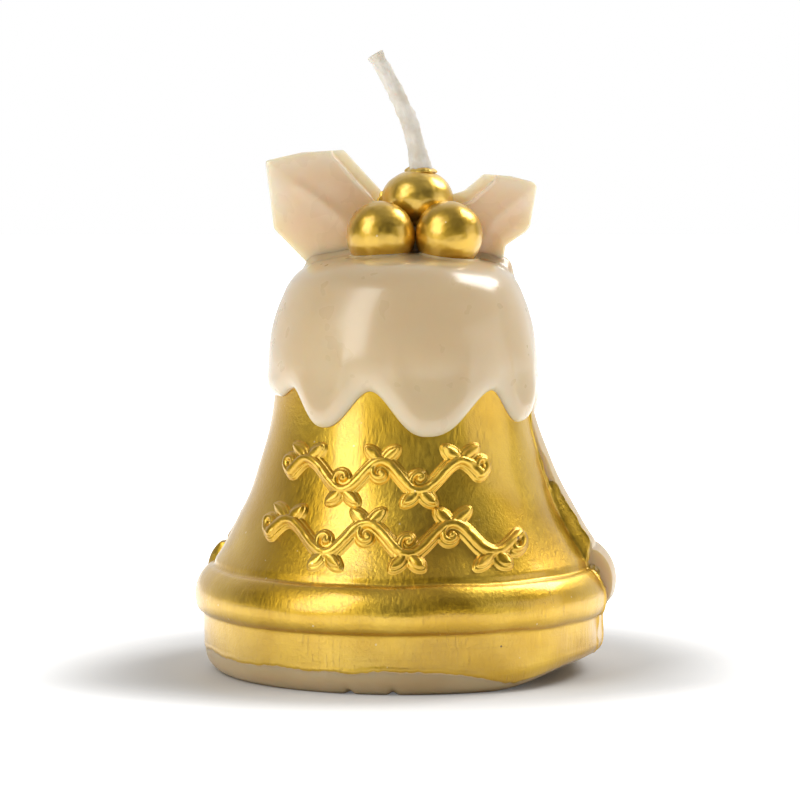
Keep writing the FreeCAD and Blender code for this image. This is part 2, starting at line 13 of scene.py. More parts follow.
import bpy
import numpy as np
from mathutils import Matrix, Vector


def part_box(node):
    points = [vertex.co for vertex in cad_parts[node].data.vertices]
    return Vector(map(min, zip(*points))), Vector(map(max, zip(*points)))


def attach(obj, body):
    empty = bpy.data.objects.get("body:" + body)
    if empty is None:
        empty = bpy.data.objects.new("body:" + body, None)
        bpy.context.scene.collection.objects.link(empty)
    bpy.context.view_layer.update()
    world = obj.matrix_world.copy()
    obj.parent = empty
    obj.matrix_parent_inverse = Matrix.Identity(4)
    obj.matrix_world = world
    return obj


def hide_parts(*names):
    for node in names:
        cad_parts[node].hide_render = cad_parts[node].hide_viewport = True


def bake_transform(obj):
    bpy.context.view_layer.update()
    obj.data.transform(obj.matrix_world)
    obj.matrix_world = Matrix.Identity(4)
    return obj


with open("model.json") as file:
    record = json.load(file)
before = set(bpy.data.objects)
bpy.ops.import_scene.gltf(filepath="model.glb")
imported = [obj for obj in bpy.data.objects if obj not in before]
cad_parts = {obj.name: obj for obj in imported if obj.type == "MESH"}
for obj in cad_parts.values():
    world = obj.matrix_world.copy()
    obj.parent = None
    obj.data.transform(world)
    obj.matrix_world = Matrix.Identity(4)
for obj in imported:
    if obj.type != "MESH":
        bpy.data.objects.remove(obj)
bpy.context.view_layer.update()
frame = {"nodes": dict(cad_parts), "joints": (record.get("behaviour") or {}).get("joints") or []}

Array = np.ndarray
MM = 0.001
log = logging.getLogger("bell_candle")


class Side(Enum):
    """Which of two mirrored pieces is meant."""

    LEFT = -1
    RIGHT = 1


# ---------------------------------------------------------------- numbers

def smoothstep(low: float, high: float, value: Array) -> Array:
    """Smooth 0 to 1 ramp: 3 t^2 - 2 t^3 between low and high."""
    share = np.clip((np.asarray(value, float) - low) / (high - low), 0.0, 1.0)
    return share * share * (3.0 - 2.0 * share)


def hump(distance: Array, width: float) -> Array:
    """Bell curve exp(-(distance / width)^2)."""
    return np.exp(-(np.asarray(distance, float) / width) ** 2)


def waviness(points: Array, length: float, seed: int, terms: int = 14) -> Array:
    """Soft unevenness from -1 to 1: the mean of sines along seeded random directions.

    Args:
        points: Places in millimetres, with three values on the last axis.
        length: Typical wave length in millimetres.
        seed: Seed of the directions.
        terms: How many sines are added.

    Returns:
        One value for each point.
    """
    draws = np.random.default_rng(seed)
    directions = draws.normal(size=(terms, 3))
    directions /= np.linalg.norm(directions, axis=1, keepdims=True)
    pitch = 2.0 * math.pi / (length * draws.uniform(0.6, 1.7, terms))
    phase = draws.uniform(0.0, 2.0 * math.pi, terms)
    waves = np.sin(points @ (directions.T * pitch) + phase)
    return waves.sum(axis=-1) / math.sqrt(terms)


def spread(low: float, high: float, count: int, dense: Sequence[tuple[float, float, float]]) -> Array:
    """Numbers from low to high, closer together near some places.

    They are equal steps of the integral of 1 + sum of boost * exp(-((x - place) / width)^2).

    Args:
        low: First number.
        high: Last number.
        count: How many numbers.
        dense: Triples of place, width and boost.

    Returns:
        The numbers, in order.
    """
    fine = np.linspace(low, high, 4001)
    weight = 1.0 + sum(boost * hump(fine - place, width) for place, width, boost in dense)
    total = np.concatenate([[0.0], np.cumsum((weight[1:] + weight[:-1]) / 2.0)])
    return np.interp(np.linspace(0.0, total[-1], count), total, fine)


def soften(path: Array, passes: int) -> Array:
    """Round the corners of a sampled path: 1-2-1 averages, with its ends kept."""
    for _ in range(passes):
        path = np.concatenate([path[:1], (path[:-2] + 2.0 * path[1:-1] + path[2:]) / 4.0, path[-1:]])
    return path


def profile(corners: Sequence[tuple[float, float]], rounds: dict[int, float],
            counts: Sequence[int]) -> Array:
    """Sampled outline of straight runs and arcs.

    A run's point is its chord point plus its normal times
    sqrt(R^2 - (L (t - 1/2))^2) - sqrt(R^2 - L^2 / 4), which is an arc of radius R over a chord L.

    Args:
        corners: Radius and height of each corner.
        rounds: Arc radius by run number, positive where the arc bulges outwards.
        counts: How many samples each run gets.

    Returns:
        Rows of radius and height.
    """
    runs = []
    for number, count in enumerate(counts):
        start, end = np.array(corners[number], float), np.array(corners[number + 1], float)
        share = np.arange(count)[:, None] / count
        chord = end - start
        run = start + chord * share
        if number in rounds:
            length, radius = np.linalg.norm(chord), rounds[number]
            normal = np.array([chord[1], -chord[0]]) / length * math.copysign(1.0, radius)
            rise = np.sqrt(radius ** 2 - (length * (share - 0.5)) ** 2)
            run = run + normal * (rise - math.sqrt(radius ** 2 - length ** 2 / 4.0))
        runs.append(run)
    return np.concatenate(runs + [np.array([corners[-1]], float)])


def polar(azimuth: Array, radius: Array, height: Array) -> Array:
    """Points from azimuth in degrees, radius and height."""
    turn = np.radians(azimuth)
    parts = np.broadcast_arrays(np.sin(turn) * radius, -np.cos(turn) * radius, height)
    return np.stack(parts, axis=-1)


def turned_about_axis(points: Array, degrees: float) -> Array:
    """Points turned about the vertical axis, anticlockwise seen from above."""
    turn = math.radians(degrees)
    x, y, z = points[..., 0], points[..., 1], points[..., 2]
    return np.stack([x * math.cos(turn) - y * math.sin(turn),
                     x * math.sin(turn) + y * math.cos(turn), z], axis=-1)


def nearest(places: Array, samples: Array, reach: Array) -> tuple[Array, Array]:
    """Closest sample of a drawing to each place, measured to the edge of its stroke.

    Args:
        places: Rows of two coordinates.
        samples: Rows of two coordinates along the strokes.
        reach: Half width of the stroke at each sample.

    Returns:
        Distance to the sample's middle, and the sample's number.
    """
    distance, chosen = np.empty(len(places)), np.empty(len(places), int)
    for part in np.array_split(np.arange(len(places)), max(1, len(places) // 2000)):
        gaps = np.linalg.norm(places[part, None, :] - samples[None, :, :], axis=2)
        chosen[part] = np.argmin(gaps - reach, axis=1)
        distance[part] = gaps[np.arange(len(part)), chosen[part]]
    return distance, chosen


def segment_distance(places: Array, start: Array, end: Array) -> Array:
    """Distance from places in the plane to a straight segment."""
    along = np.asarray(end, float) - start
    share = np.clip(((places - start) @ along) / (along @ along), 0.0, 1.0)
    return np.linalg.norm(places - (start + share[..., None] * along), axis=-1)


# ---------------------------------------------------------------- meshes

def make_object(name: str, points: Array, faces: Array, fans: Array | None = None) -> bpy.types.Object:
    """Put arrays into a new mesh object that shades smoothly and faces outwards.

    Args:
        name: Name of the piece.
        points: Rows of coordinates in millimetres.
        faces: Rows of four point numbers.
        fans: Rows of three point numbers, where there are any.

    Returns:
        The linked object, at the origin.
    """
    corners = faces if fans is None else np.concatenate([faces, fans[:, [0, 1, 2, 2]]])
    a, b, c, d = (points[corners[:, k]] for k in range(4))
    volume = np.einsum("ij,ij->", a, np.cross(b, c)) + np.einsum("ij,ij->", a, np.cross(c, d))
    if volume < 0:
        faces = faces[:, ::-1]
        fans = None if fans is None else fans[:, ::-1]
    polygons = faces.tolist() + ([] if fans is None else fans.tolist())
    mesh = bpy.data.meshes.new(name)
    mesh.from_pydata((points * MM).tolist(), [], polygons)
    mesh.polygons.foreach_set("use_smooth", np.ones(len(polygons), bool))
    mesh.update()
    piece = bpy.data.objects.new(name, mesh)
    bpy.context.scene.collection.objects.link(piece)
    return piece


def grid_faces(rows: int, columns: int, wrap: bool, first: int = 0) -> Array:
    """Quads between neighbours of a grid whose points are numbered row by row."""
    row = np.arange(rows - 1)[:, None]
    column = np.arange(columns if wrap else columns - 1)[None, :]
    after = (column + 1) % columns
    quads = [row * columns + column, row * columns + after,
             (row + 1) * columns + after, (row + 1) * columns + column]
    return first + np.stack([np.broadcast_to(q, (rows - 1, column.size)).ravel() for q in quads], 1)


def make_lathe(name: str, rings: Array) -> bpy.types.Object:
    """Closed skin of rings whose first and last ring shrink to one point each.

    Args:
        name: Name of the piece.
        rings: Ring, place on the ring and coordinate; each end ring is averaged to a pole.

    Returns:
        The object. Its points are the first pole, the rings between, and the last pole.
    """
    count, columns = rings.shape[0] - 2, rings.shape[1]
    points = np.concatenate([rings[0].mean(0)[None], rings[1:-1].reshape(-1, 3),
                             rings[-1].mean(0)[None]])
    ring = np.arange(columns)
    after = (ring + 1) % columns
    last, tail = len(points) - 1, 1 + (count - 1) * columns
    fans = np.concatenate([np.stack([np.zeros_like(ring), 1 + after, 1 + ring], 1),
                           np.stack([np.full_like(ring, last), tail + ring, tail + after], 1)])
    return make_object(name, points, grid_faces(count, columns, True, 1), fans)


def make_slab(name: str, front: Array, back: Array, keep: Array | None = None) -> bpy.types.Object:
    """Closed slab between two grids, or between the kept quads of them.

    Every edge between a kept quad and one that is left out gets a wall.

    Args:
        name: Name of the piece.
        front: Grid of points of the face that shows.
        back: Grid of points of the hidden face, of the same shape.
        keep: True for each quad that is part of the slab; all of them if None.

    Returns:
        The object. Its points are the kept points of the front, then those of the back.
    """
    rows, columns = front.shape[:2]
    keep = np.ones((rows - 1, columns - 1), bool) if keep is None else keep
    number = np.arange(rows * columns).reshape(rows, columns)
    low, high = number[:-1], number[1:]
    quads = np.stack([low[:, :-1], low[:, 1:], high[:, 1:], high[:, :-1]], -1)
    padded = np.pad(keep, 1)
    total = rows * columns
    faces = [quads[keep], quads[keep][:, ::-1] + total]
    sides = ((padded[:-2, 1:-1], 0, 1), (padded[1:-1, 2:], 1, 2),
             (padded[2:, 1:-1], 2, 3), (padded[1:-1, :-2], 3, 0))
    for beside, start, end in sides:
        edge = quads[keep & ~beside][:, [end, start]]
        faces.append(np.concatenate([edge, edge[:, ::-1] + total], axis=1))
    faces = np.concatenate(faces)
    used, renumbered = np.unique(faces, return_inverse=True)
    points = np.concatenate([front.reshape(-1, 3), back.reshape(-1, 3)])[used]
    return make_object(name, points, renumbered.reshape(-1, 4))


def set_attribute(piece: bpy.types.Object, name: str, values: Array) -> None:
    """Store one number for each point of a piece."""
    layer = piece.data.attributes.new(name, "FLOAT", "POINT")
    layer.data.foreach_set("value", np.asarray(values, np.float32).ravel())


def node_box(node: str) -> tuple[Array, Array]:
    """Lowest and highest corner of a CAD node in millimetres."""
    low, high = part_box(node)
    return np.array(low) / MM, np.array(high) / MM


def fit_out(piece: bpy.types.Object, body: str | None, slot: str, finish: "Finish",
            *nodes: str) -> bpy.types.Object:
    """Give a piece its body and material, hide the CAD nodes that it stands for, and log its slot.

    Args:
        piece: The finished piece.
        body: CAD body it rides on, or None to leave it unattached.
        slot: The record's material slot.
        finish: The finish it wears.
        nodes: CAD nodes it stands for.

    Returns:
        The same piece.
    """
    piece.data.materials.append(finish.material())
    if body is not None:
        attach(piece, body)
    if nodes:
        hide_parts(*nodes)
    triangles = sum(len(polygon.vertices) - 2 for polygon in piece.data.polygons)
    log.info("%s: %d triangles, slot %s", piece.name, triangles, slot)
    return piece


# ---------------------------------------------------------------- shader graphs

class Graph:
    """Short way to add nodes to a tree and join them."""

    def __init__(self, tree: bpy.types.NodeTree) -> None:
        """Start on a tree."""
        self.tree = tree

    def node(self, kind: str, inputs: dict | None = None, **settings: object) -> bpy.types.Node:
        """Add a node.

        Args:
            kind: Node type, without its ShaderNode prefix.
            inputs: Values or output sockets by input name or number.
            settings: Properties of the node.

        Returns:
            The node.
        """
        made = self.tree.nodes.new("ShaderNode" + kind)
        for key, value in settings.items():
            setattr(made, key, value)
        for key, value in (inputs or {}).items():
            socket = made.inputs[key]
            if isinstance(value, bpy.types.NodeSocket):
                self.tree.links.new(value, socket)
            else:
                socket.default_value = value
        return made

    def math(self, operation: str, *values: object) -> bpy.types.NodeSocket:
        """Result of a Math node."""
        inputs = dict(enumerate(values))
        return self.node("Math", inputs, operation=operation, use_clamp=False).outputs[0]

    def ramp(self, value: object, low: float, high: float, to_low: float = 0.0,
             to_high: float = 1.0) -> bpy.types.NodeSocket:
        """Value mapped smoothly from low..high to to_low..to_high."""
        inputs = {"Value": value, "From Min": low, "From Max": high, "To Min": to_low,
                  "To Max": to_high}
        return self.node("MapRange", inputs, interpolation_type="SMOOTHSTEP").outputs[0]

    def mix(self, factor: object, first: object, second: object) -> bpy.types.NodeSocket:
        """Colour mixed from first to second."""
        inputs = {0: factor, 6: first, 7: second}
        return self.node("Mix", inputs, data_type="RGBA").outputs[2]

    def group(self, tree: bpy.types.NodeTree, inputs: dict) -> bpy.types.Node:
        """Place a shared effect, with its inputs set."""
        made = self.tree.nodes.new("ShaderNodeGroup")
        made.node_tree = tree
        for key, value in inputs.items():
            if isinstance(value, bpy.types.NodeSocket):
                self.tree.links.new(value, made.inputs[key])
            else:
                made.inputs[key].default_value = value
        return made

    def attribute(self, name: str) -> bpy.types.NodeSocket:
        """A piece's own stored number."""
        return self.node("Attribute", attribute_name=name).outputs["Fac"]

    def place(self) -> bpy.types.NodeSocket:
        """Place on the object, in metres."""
        return self.node("TexCoord").outputs["Object"]


def effect(name: str, inputs: Sequence[tuple[str, str, object]], outputs: Sequence[tuple[str, str]],
           build: Callable[[Graph, bpy.types.Node], dict]) -> bpy.types.NodeTree:
    """Shared shader group, built the first time that it is asked for.

    Args:
        name: Name of the group.
        inputs: Name, socket type and default of each input; a default of None is left alone.
        outputs: Name and socket type of each output.
        build: Adds the nodes and returns the socket for each output.

    Returns:
        The group's tree.
    """
    tree = bpy.data.node_groups.get(name)
    if tree is not None:
        return tree
    tree = bpy.data.node_groups.new(name, "ShaderNodeTree")
    for label, kind, default in inputs:
        socket = tree.interface.new_socket(label, in_out="INPUT", socket_type=kind)
        if default is not None:
            socket.default_value = default
    for label, kind in outputs:
        tree.interface.new_socket(label, in_out="OUTPUT", socket_type=kind)
    graph = Graph(tree)
    way_in, way_out = tree.nodes.new("NodeGroupInput"), tree.nodes.new("NodeGroupOutput")
    for label, socket in build(graph, way_in).items():
        tree.links.new(socket, way_out.inputs[label])
    return tree


FLOAT, COLOUR, VECTOR = "NodeSocketFloat", "NodeSocketColor", "NodeSocketVector"


def brushed_grain() -> bpy.types.NodeTree:
    """Fine sponge grain with slanting brush hatching, as a height from 0 to 1."""
    def build(graph: Graph, way_in: bpy.types.Node) -> dict:
        """Add the nodes of the finish and return its shader."""
        fine = graph.node("TexNoise", {"Vector": way_in.outputs["Vector"],
                                       "Scale": way_in.outputs["Grain"], "Detail": 3.0,
                                       "Roughness": 0.62})
        slanted = graph.node("Mapping", {"Vector": way_in.outputs["Vector"],
                                         "Rotation": (0.0, math.radians(38.0), 0.0),
                                         "Scale": (1.0, 1.0, 0.28)})
        hatch = graph.node("TexNoise", {"Vector": slanted.outputs[0],
                                        "Scale": way_in.outputs["Hatch"], "Detail": 2.0,
                                        "Roughness": 0.5, "Distortion": 0.4})
        patch = graph.node("TexNoise", {"Vector": way_in.outputs["Vector"], "Scale": 130.0,
                                        "Detail": 2.0})
        share = graph.ramp(patch.outputs[0], 0.42, 0.6, 0.25, 0.75)
        hatched = graph.math("MULTIPLY", hatch.outputs[0], share)
        plain = graph.math("MULTIPLY", fine.outputs[0], graph.math("SUBTRACT", 1.0, share))
        return {"Height": graph.math("ADD", hatched, plain)}

    return effect("brushed_grain", [("Vector", VECTOR, None), ("Grain", FLOAT, 3000.0),
                                    ("Hatch", FLOAT, 2600.0)], [("Height", FLOAT)], build)


def scattered_dots() -> bpy.types.NodeTree:
    """Round dots in some cells of a random net, as a mask."""
    def build(graph: Graph, way_in: bpy.types.Node) -> dict:
        """Add the nodes of the finish and return its shader."""
        cells = graph.node("TexVoronoi", {"Vector": way_in.outputs["Vector"],
                                          "Scale": way_in.outputs["Scale"]})
        draw = graph.node("SeparateColor", {0: cells.outputs["Color"]})
        radius = graph.math("MULTIPLY", way_in.outputs["Radius"],
                            graph.ramp(draw.outputs[0], 0.0, 1.0, 0.4, 1.0))
        near = graph.math("SUBTRACT", radius, cells.outputs["Distance"])
        chosen = graph.math("LESS_THAN", draw.outputs[1], way_in.outputs["Share"])
        soft = graph.node("MapRange", {"Value": near, "From Min": 0.0, "From Max": 0.012})
        return {"Mask": graph.math("MULTIPLY", soft.outputs[0], chosen)}

    return effect("scattered_dots", [("Vector", VECTOR, None), ("Scale", FLOAT, 400.0),
                                     ("Radius", FLOAT, 0.06), ("Share", FLOAT, 0.5)],
                  [("Mask", FLOAT)], build)


def mottle() -> bpy.types.NodeTree:
    """Cloudy change between two colours, with its mask."""
    def build(graph: Graph, way_in: bpy.types.Node) -> dict:
        """Add the nodes of the finish and return its shader."""
        clouds = graph.node("TexNoise", {"Vector": way_in.outputs["Vector"],
                                         "Scale": way_in.outputs["Scale"], "Detail": 3.0,
                                         "Roughness": 0.5})
        mask = graph.ramp(clouds.outputs[0], 0.36, 0.64)
        return {"Colour": graph.mix(mask, way_in.outputs["First"], way_in.outputs["Second"]),
                "Mask": mask}

    return effect("mottle", [("Vector", VECTOR, None), ("Scale", FLOAT, 80.0),
                             ("First", COLOUR, None), ("Second", COLOUR, None)],
                  [("Colour", COLOUR), ("Mask", FLOAT)], build)


Colour = tuple[float, float, float, float]


@dataclass(frozen=True)
class Finish:
    """A material that is built once, the first time that a piece wears it."""

    name: str

    def material(self) -> bpy.types.Material:
        """The material of this finish."""
        made = bpy.data.materials.get(self.name)
        if made is None:
            made = bpy.data.materials.new(self.name)
            made.use_nodes = True
            made.node_tree.nodes.clear()
            graph = Graph(made.node_tree)
            shader = self.build(graph)
            graph.node("OutputMaterial", {"Surface": shader.outputs[0]})
        return made

    def build(self, graph: Graph) -> bpy.types.Node:
        """Add the nodes of the finish and return its shader."""
        raise NotImplementedError


@dataclass(frozen=True)
class Wax(Finish):
    """Satin candle wax: cloudy colour, soft light inside, faint ripples, a few pits with painted shade in
    them, and an edge painted paler as light through thin wax.
    """

    tint: Colour
    second: Colour
    edge: Colour
    roughness: float = 0.36
    coat: float = 0.25
    inside: float = 0.55
    depth: float = 0.0035
    ripple: float = 0.05
    fine_ripple: float = 0.12
    shaded_pits: float = 0.06
    painted_glow_attribute: str = ""

    def build(self, graph: Graph) -> bpy.types.Node:
        """Mottled colour, an edge painted paler by attribute as light through thin wax, ripples, and pits as
        bump with painted shade darkening them.
        """
        place = graph.place()
        clouds = graph.group(mottle(), {"Vector": place, "Scale": 70.0, "First": self.tint,
                                        "Second": self.second})
        colour = clouds.outputs["Colour"]
        # Painted light: where the attribute is high, the colour goes paler, as light showing through thin
        # wax.
        if self.painted_glow_attribute:
            colour = graph.mix(graph.attribute(self.painted_glow_attribute), colour, self.edge)
        shaded_pits = graph.group(scattered_dots(), {"Vector": place, "Scale": 150.0, "Radius": 0.03,
                                              "Share": self.shaded_pits})
        # Painted shade: each pit is darkened towards brown, as the shadow inside it.
        colour = graph.mix(graph.math("MULTIPLY", shaded_pits.outputs["Mask"], 0.35), colour,
                           (0.42, 0.30, 0.18, 1.0))
        swell = graph.node("TexNoise", {"Vector": place, "Scale": 260.0, "Detail": 2.0})
        fine = graph.node("TexNoise", {"Vector": place, "Scale": 2400.0, "Detail": 2.0})
        height = graph.math("ADD", graph.math("MULTIPLY", swell.outputs[0], 1.0),
                            graph.math("MULTIPLY", fine.outputs[0], self.fine_ripple))
        height = graph.math("SUBTRACT", height, shaded_pits.outputs["Mask"])
        bump = graph.node("Bump", {"Strength": 0.5, "Distance": self.ripple * MM, "Height": height})
        rough = graph.ramp(swell.outputs[0], 0.3, 0.7, self.roughness - 0.03, self.roughness + 0.04)
        return graph.node("BsdfPrincipled", {
            "Base Color": colour, "Roughness": rough, "IOR": 1.44, "Coat Weight": self.coat,
            "Coat Roughness": 0.18, "Subsurface Weight": self.inside,
            "Subsurface Radius": (1.0, 0.62, 0.36), "Subsurface Scale": self.depth,
            "Normal": bump.outputs[0]})


@dataclass(frozen=True)
class GoldPaint(Finish):
    """Satin gold paint on wax: grain, brush streaks round the bell, raised flakes painted paler as glints,
    pinholes painted dark as shade, and wear.
    """

    bright: Colour = (0.84, 0.54, 0.05, 1.0)
    deep: Colour = (0.70, 0.41, 0.02, 1.0)
    wax: Colour = (0.78, 0.57, 0.30, 1.0)
    roughness: float = 0.37
    grain: float = 2300.0
    hatch: float = 2000.0
    grain_depth: float = 0.085
    streaks: bool = True
    worn: bool = True

    def build(self, graph: Graph) -> bpy.types.Node:
        """Mottled gold over wax, with grain, streaks, flakes painted paler as glints and pinholes painted
        dark as shade.
        """
        place = graph.place()
        clouds = graph.group(mottle(), {"Vector": place, "Scale": 95.0, "First": self.bright,
                                        "Second": self.deep})
        grain = graph.group(brushed_grain(), {"Vector": place, "Grain": self.grain,
                                              "Hatch": self.hatch})
        glint_flakes = graph.group(scattered_dots(), {"Vector": place, "Scale": 620.0, "Radius": 0.10,
                                                "Share": 0.45})
        shaded_pinholes = graph.group(scattered_dots(), {"Vector": place, "Scale": 190.0, "Radius": 0.05,
                                               "Share": 0.45})
        # Painted glints: the raised flakes are painted pale yellow, brighter than the gold round them.
        colour = graph.mix(graph.math("MULTIPLY", glint_flakes.outputs["Mask"], 0.6),
                           clouds.outputs["Colour"], (1.0, 0.86, 0.48, 1.0))
        # Painted shade: the pinholes are painted near black, as the shadow inside them.
        colour = graph.mix(graph.math("MULTIPLY", shaded_pinholes.outputs["Mask"], 0.85), colour,
                           (0.10, 0.05, 0.012, 1.0))
        height = graph.math("MULTIPLY", grain.outputs["Height"], self.grain_depth)
        if self.streaks:
            height = graph.math("ADD", height, self._streak_height(graph))
            height = graph.math("SUBTRACT", height, self._scratch_depth(graph))
        height = graph.math("ADD", height, graph.math("MULTIPLY", glint_flakes.outputs["Mask"], 0.02))
        height = graph.math("SUBTRACT", height, graph.math("MULTIPLY", shaded_pinholes.outputs["Mask"], 0.06))
        bump = graph.node("Bump", {"Strength": 1.0, "Distance": MM, "Height": height})
        metal: object = 0.94
        if self.worn:
            bare = self._bare(graph, grain.outputs["Height"])
            colour = graph.mix(bare, colour, self.wax)
            metal = graph.math("MULTIPLY", graph.math("SUBTRACT", 1.0, bare), 0.94)
        rough = graph.ramp(grain.outputs["Height"], 0.3, 0.7, self.roughness - 0.05,
                           self.roughness + 0.08)
        return graph.node("BsdfPrincipled", {
            "Base Color": colour, "Metallic": metal, "Roughness": rough, "Coat Weight": 0.8,
            "Coat IOR": 1.6, "Coat Roughness": 0.19, "Normal": bump.outputs[0]})

    def _streak_height(self, graph: Graph) -> bpy.types.NodeSocket:
        """Long thin brush marks that follow the stored around and along distances."""
        run = graph.node("CombineXYZ", {0: graph.attribute("around"), 1: graph.attribute("along")})
        stretched = graph.node("Mapping", {"Vector": run.outputs[0], "Scale": (0.07, 1.7, 1.0)})
        marks = graph.node("TexNoise", {"Vector": stretched.outputs[0], "Scale": 1.0, "Detail": 4.0,
                                        "Roughness": 0.6, "Distortion": 0.3})
        low = graph.ramp(graph.attribute("along"), 5.0, 17.0, 0.050, 0.010)
        return graph.math("MULTIPLY", marks.outputs[0], low)

    def _scratch_depth(self, graph: Graph) -> bpy.types.NodeSocket:
        """Sparse thin scratches that lean across the bell, as a depth."""
        run = graph.node("CombineXYZ", {0: graph.attribute("around"), 1: graph.attribute("along")})
        leaning = graph.node("Mapping", {"Vector": run.outputs[0], "Scale": (1.9, 0.12, 1.0),
                                         "Rotation": (0.0, 0.0, math.radians(24.0))})
        lines = graph.node("TexNoise", {"Vector": leaning.outputs[0], "Scale": 1.0, "Detail": 2.0})
        patch = graph.node("TexNoise", {"Vector": run.outputs[0], "Scale": 0.11, "Detail": 1.0})
        sharp = graph.ramp(graph.math("ABSOLUTE", graph.math("SUBTRACT", lines.outputs[0], 0.62)),
                           0.0, 0.012, 0.05, 0.0)
        where = graph.math("MULTIPLY", graph.ramp(patch.outputs[0], 0.50, 0.56),
                           graph.ramp(graph.attribute("along"), 15.0, 21.0, 1.0, 0.0))
        return graph.math("MULTIPLY", sharp, where)

    def _bare(self, graph: Graph, grain: bpy.types.NodeSocket) -> bpy.types.NodeSocket:
        """Share of wax that shows where the stored thin value is high, broken up by the grain."""
        edge = graph.math("ADD", graph.attribute("thin"), graph.math("MULTIPLY", grain, 0.7))
        return graph.ramp(edge, 0.95, 1.25)


@dataclass(frozen=True)
class WickCotton(Finish):
    """Braided cotton soaked in pale wax."""

    light: Colour = (0.76, 0.73, 0.66, 1.0)
    shade: Colour = (0.64, 0.58, 0.48, 1.0)

    def build(self, graph: Graph) -> bpy.types.Node:
        """Fibres along the wick, with waxy patches."""
        place = graph.place()
        run = graph.node("CombineXYZ", {0: graph.attribute("around"), 1: graph.attribute("along")})
        stretched = graph.node("Mapping", {"Vector": run.outputs[0], "Scale": (9.0, 0.8, 1.0)})
        fibres = graph.node("TexNoise", {"Vector": stretched.outputs[0], "Scale": 1.0,
                                         "Detail": 3.0, "Distortion": 0.6})
        clouds = graph.group(mottle(), {"Vector": place, "Scale": 420.0, "First": self.light,
                                        "Second": self.shade})
        colour = graph.mix(graph.ramp(fibres.outputs[0], 0.35, 0.7, 0.0, 0.4),
                           clouds.outputs["Colour"], self.shade)
        lumps = graph.node("TexNoise", {"Vector": place, "Scale": 900.0, "Detail": 3.0})
        height = graph.math("ADD", graph.math("MULTIPLY", fibres.outputs[0], 0.09),
                            graph.math("MULTIPLY", lumps.outputs[0], 0.10))
        bump = graph.node("Bump", {"Strength": 0.8, "Distance": MM, "Height": height})
        return graph.node("BsdfPrincipled", {
            "Base Color": colour, "Roughness": graph.ramp(clouds.outputs["Mask"], 0, 1, 0.45, 0.62),
            "Subsurface Weight": 0.4, "Subsurface Radius": (1.0, 0.7, 0.45),
            "Subsurface Scale": 0.0012, "Normal": bump.outputs[0]})


@dataclass(frozen=True)
class TinnedSheet(Finish):
    """Dull tin on thin pressed steel."""

    bright: Colour = (0.62, 0.62, 0.60, 1.0)
    dull: Colour = (0.45, 0.45, 0.44, 1.0)

    def build(self, graph: Graph) -> bpy.types.Node:
        """Spangled tin with fine rolling marks."""
        place = graph.place()
        clouds = graph.group(mottle(), {"Vector": place, "Scale": 500.0, "First": self.bright,
                                        "Second": self.dull})
        grain = graph.group(brushed_grain(), {"Vector": place, "Grain": 4200.0, "Hatch": 3800.0})
        bump = graph.node("Bump", {"Strength": 0.6, "Distance": 0.02 * MM,
                                   "Height": grain.outputs["Height"]})
        return graph.node("BsdfPrincipled", {
            "Base Color": clouds.outputs["Colour"], "Metallic": 1.0,
            "Roughness": graph.ramp(clouds.outputs["Mask"], 0, 1, 0.32, 0.48),
            "Normal": bump.outputs[0]})


IVORY_WAX = Wax("cast_ivory_wax", tint=(0.66, 0.49, 0.27, 1.0), second=(0.60, 0.43, 0.22, 1.0),
                edge=(0.80, 0.62, 0.44, 1.0), roughness=0.42, ripple=0.07)
# The cream and leaf waxes paint their edges paler, as light showing through thin wax.
CREAM_WAX = Wax("poured_cream_wax", tint=(0.68, 0.525, 0.315, 1.0), second=(0.665, 0.50, 0.295, 1.0),
                edge=(0.72, 0.58, 0.40, 1.0), roughness=0.30, coat=0.9, ripple=0.012,
                fine_ripple=0.02, shaded_pits=0.0, painted_glow_attribute="rim")
LEAF_WAX = Wax("thin_leaf_wax", tint=(0.72, 0.60, 0.38, 1.0), second=(0.69, 0.56, 0.34, 1.0),
               edge=(0.68, 0.62, 0.51, 1.0), roughness=0.28, coat=0.6, ripple=0.02, shaded_pits=0.0, inside=0.8,
               depth=0.004, painted_glow_attribute="rim")
GOLD_PAINT = GoldPaint("satin_gold_paint")
RELIEF_GOLD = GoldPaint("relief_gold", streaks=False, worn=False, grain_depth=0.02)
BERRY_GOLD = GoldPaint("berry_gold", bright=(0.80, 0.53, 0.08, 1.0), deep=(0.68, 0.42, 0.04, 1.0),
                       roughness=0.36, grain=2600.0, hatch=1700.0, grain_depth=0.022,
                       streaks=False, worn=False)
WICK_COTTON = WickCotton("braided_wick_cotton")
TINNED_SHEET = TinnedSheet("tinned_sheet")


# ---------------------------------------------------------------- casting and paint

